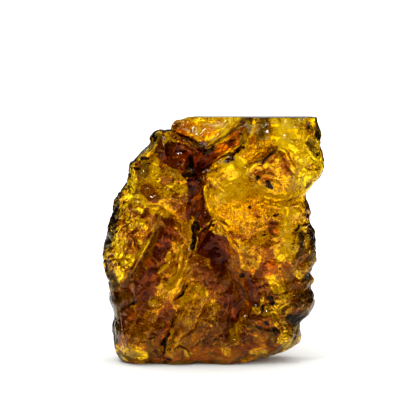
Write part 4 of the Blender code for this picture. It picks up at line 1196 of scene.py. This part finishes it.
def world():
    """The light all round, which differs by what a ray has met.

    Rays that passed through the resin see a ring of bright panels with dimmer gaps. Reflections see a
    dim room, with a softbox overhead, a small bright lamp high at the front left and a pale wall
    behind. The floor gets a soft glow from all sides, and the camera sees a plain white backdrop.
    """
    sky = bpy.data.worlds.new("studio")
    bpy.context.scene.world = sky
    sky.use_nodes = True
    sky.cycles.sampling_method = "NONE"
    tree = sky.node_tree
    background = tree.nodes["Background"]
    background.inputs["Color"].default_value = (1.0, 1.0, 1.0, 1.0)
    direction = linked(tree, "ShaderNodeTexCoord", {}).outputs["Generated"]
    parts = linked(tree, "ShaderNodeSeparateXYZ", {"Vector": direction}).outputs
    rays = linked(tree, "ShaderNodeLightPath", {}).outputs

    def chosen(factor, otherwise, value):
        made = tree.nodes.new("ShaderNodeMix")
        made.data_type = "FLOAT"
        tree.links.new(factor, made.inputs[0])
        for slot, item in ((2, otherwise), (3, value)):
            if isinstance(item, bpy.types.NodeSocket):
                tree.links.new(item, made.inputs[slot])
            else:
                made.inputs[slot].default_value = item
        return made.outputs[0]

    turn = math_of(tree, "ARCTAN2", parts["X"], parts["Y"])
    ring = math_of(tree, "COSINE", math_of(tree, "MULTIPLY", turn, PANELS))
    panels = mapped(tree, ring, *PANEL_EDGES)
    height = mapped(tree, parts["Z"], *RING_TOP)
    through = math_of(tree, "MULTIPLY", math_of(tree, "MULTIPLY", panels, height), RING_LIGHT)

    softbox = mapped(tree, parts["Z"], *SOFTBOX)
    towards = linked(
        tree, "ShaderNodeVectorMath", {0: direction, 1: GLINT_DIRECTION}, operation="DOT_PRODUCT"
    ).outputs["Value"]
    glint = mapped(tree, towards, *GLINT)
    wall = math_of(tree, "MULTIPLY", mapped(tree, parts["Y"], *WALL), mapped(tree, parts["Z"], *WALL_FOOT))
    lamps = math_of(tree, "ADD", math_of(tree, "ADD", softbox, glint), DIM_ROOM)
    reflected = math_of(tree, "ADD", wall, lamps)

    glow = mapped(tree, parts["Y"], *FLOOR_GLOW)
    strength = chosen(rays["Is Transmission Ray"], reflected, through)
    strength = chosen(rays["Is Diffuse Ray"], strength, glow)
    strength = chosen(rays["Is Camera Ray"], strength, 1.0)
    tree.links.new(strength, background.inputs["Strength"])


def turned(thing, place, aim):
    """Puts a lamp or a camera at a place, turned to what it looks at."""
    thing.location = place
    thing.rotation_euler = (Vector(aim) - Vector(place)).to_track_quat("-Z", "Y").to_euler()
    bpy.context.scene.collection.objects.link(thing)


def key_light():
    data = bpy.data.lights.new("key", "AREA")
    data.shape = "RECTANGLE"
    data.size = KEY_SIZE
    data.size_y = KEY_SIZE
    data.energy = KEY_POWER
    lamp = bpy.data.objects.new("key", data)
    lamp.visible_transmission = False
    turned(lamp, KEY_PLACE, KEY_AIM)


def camera():
    data = bpy.data.cameras.new("camera")
    data.lens = LENS
    eye = bpy.data.objects.new("camera", data)
    turned(eye, EYE, AIM)
    bpy.context.scene.camera = eye


skin()
floor()
world()
key_light()
camera()
bpy.context.scene.view_settings.view_transform = "Standard"
bpy.context.scene.view_settings.look = "High Contrast"
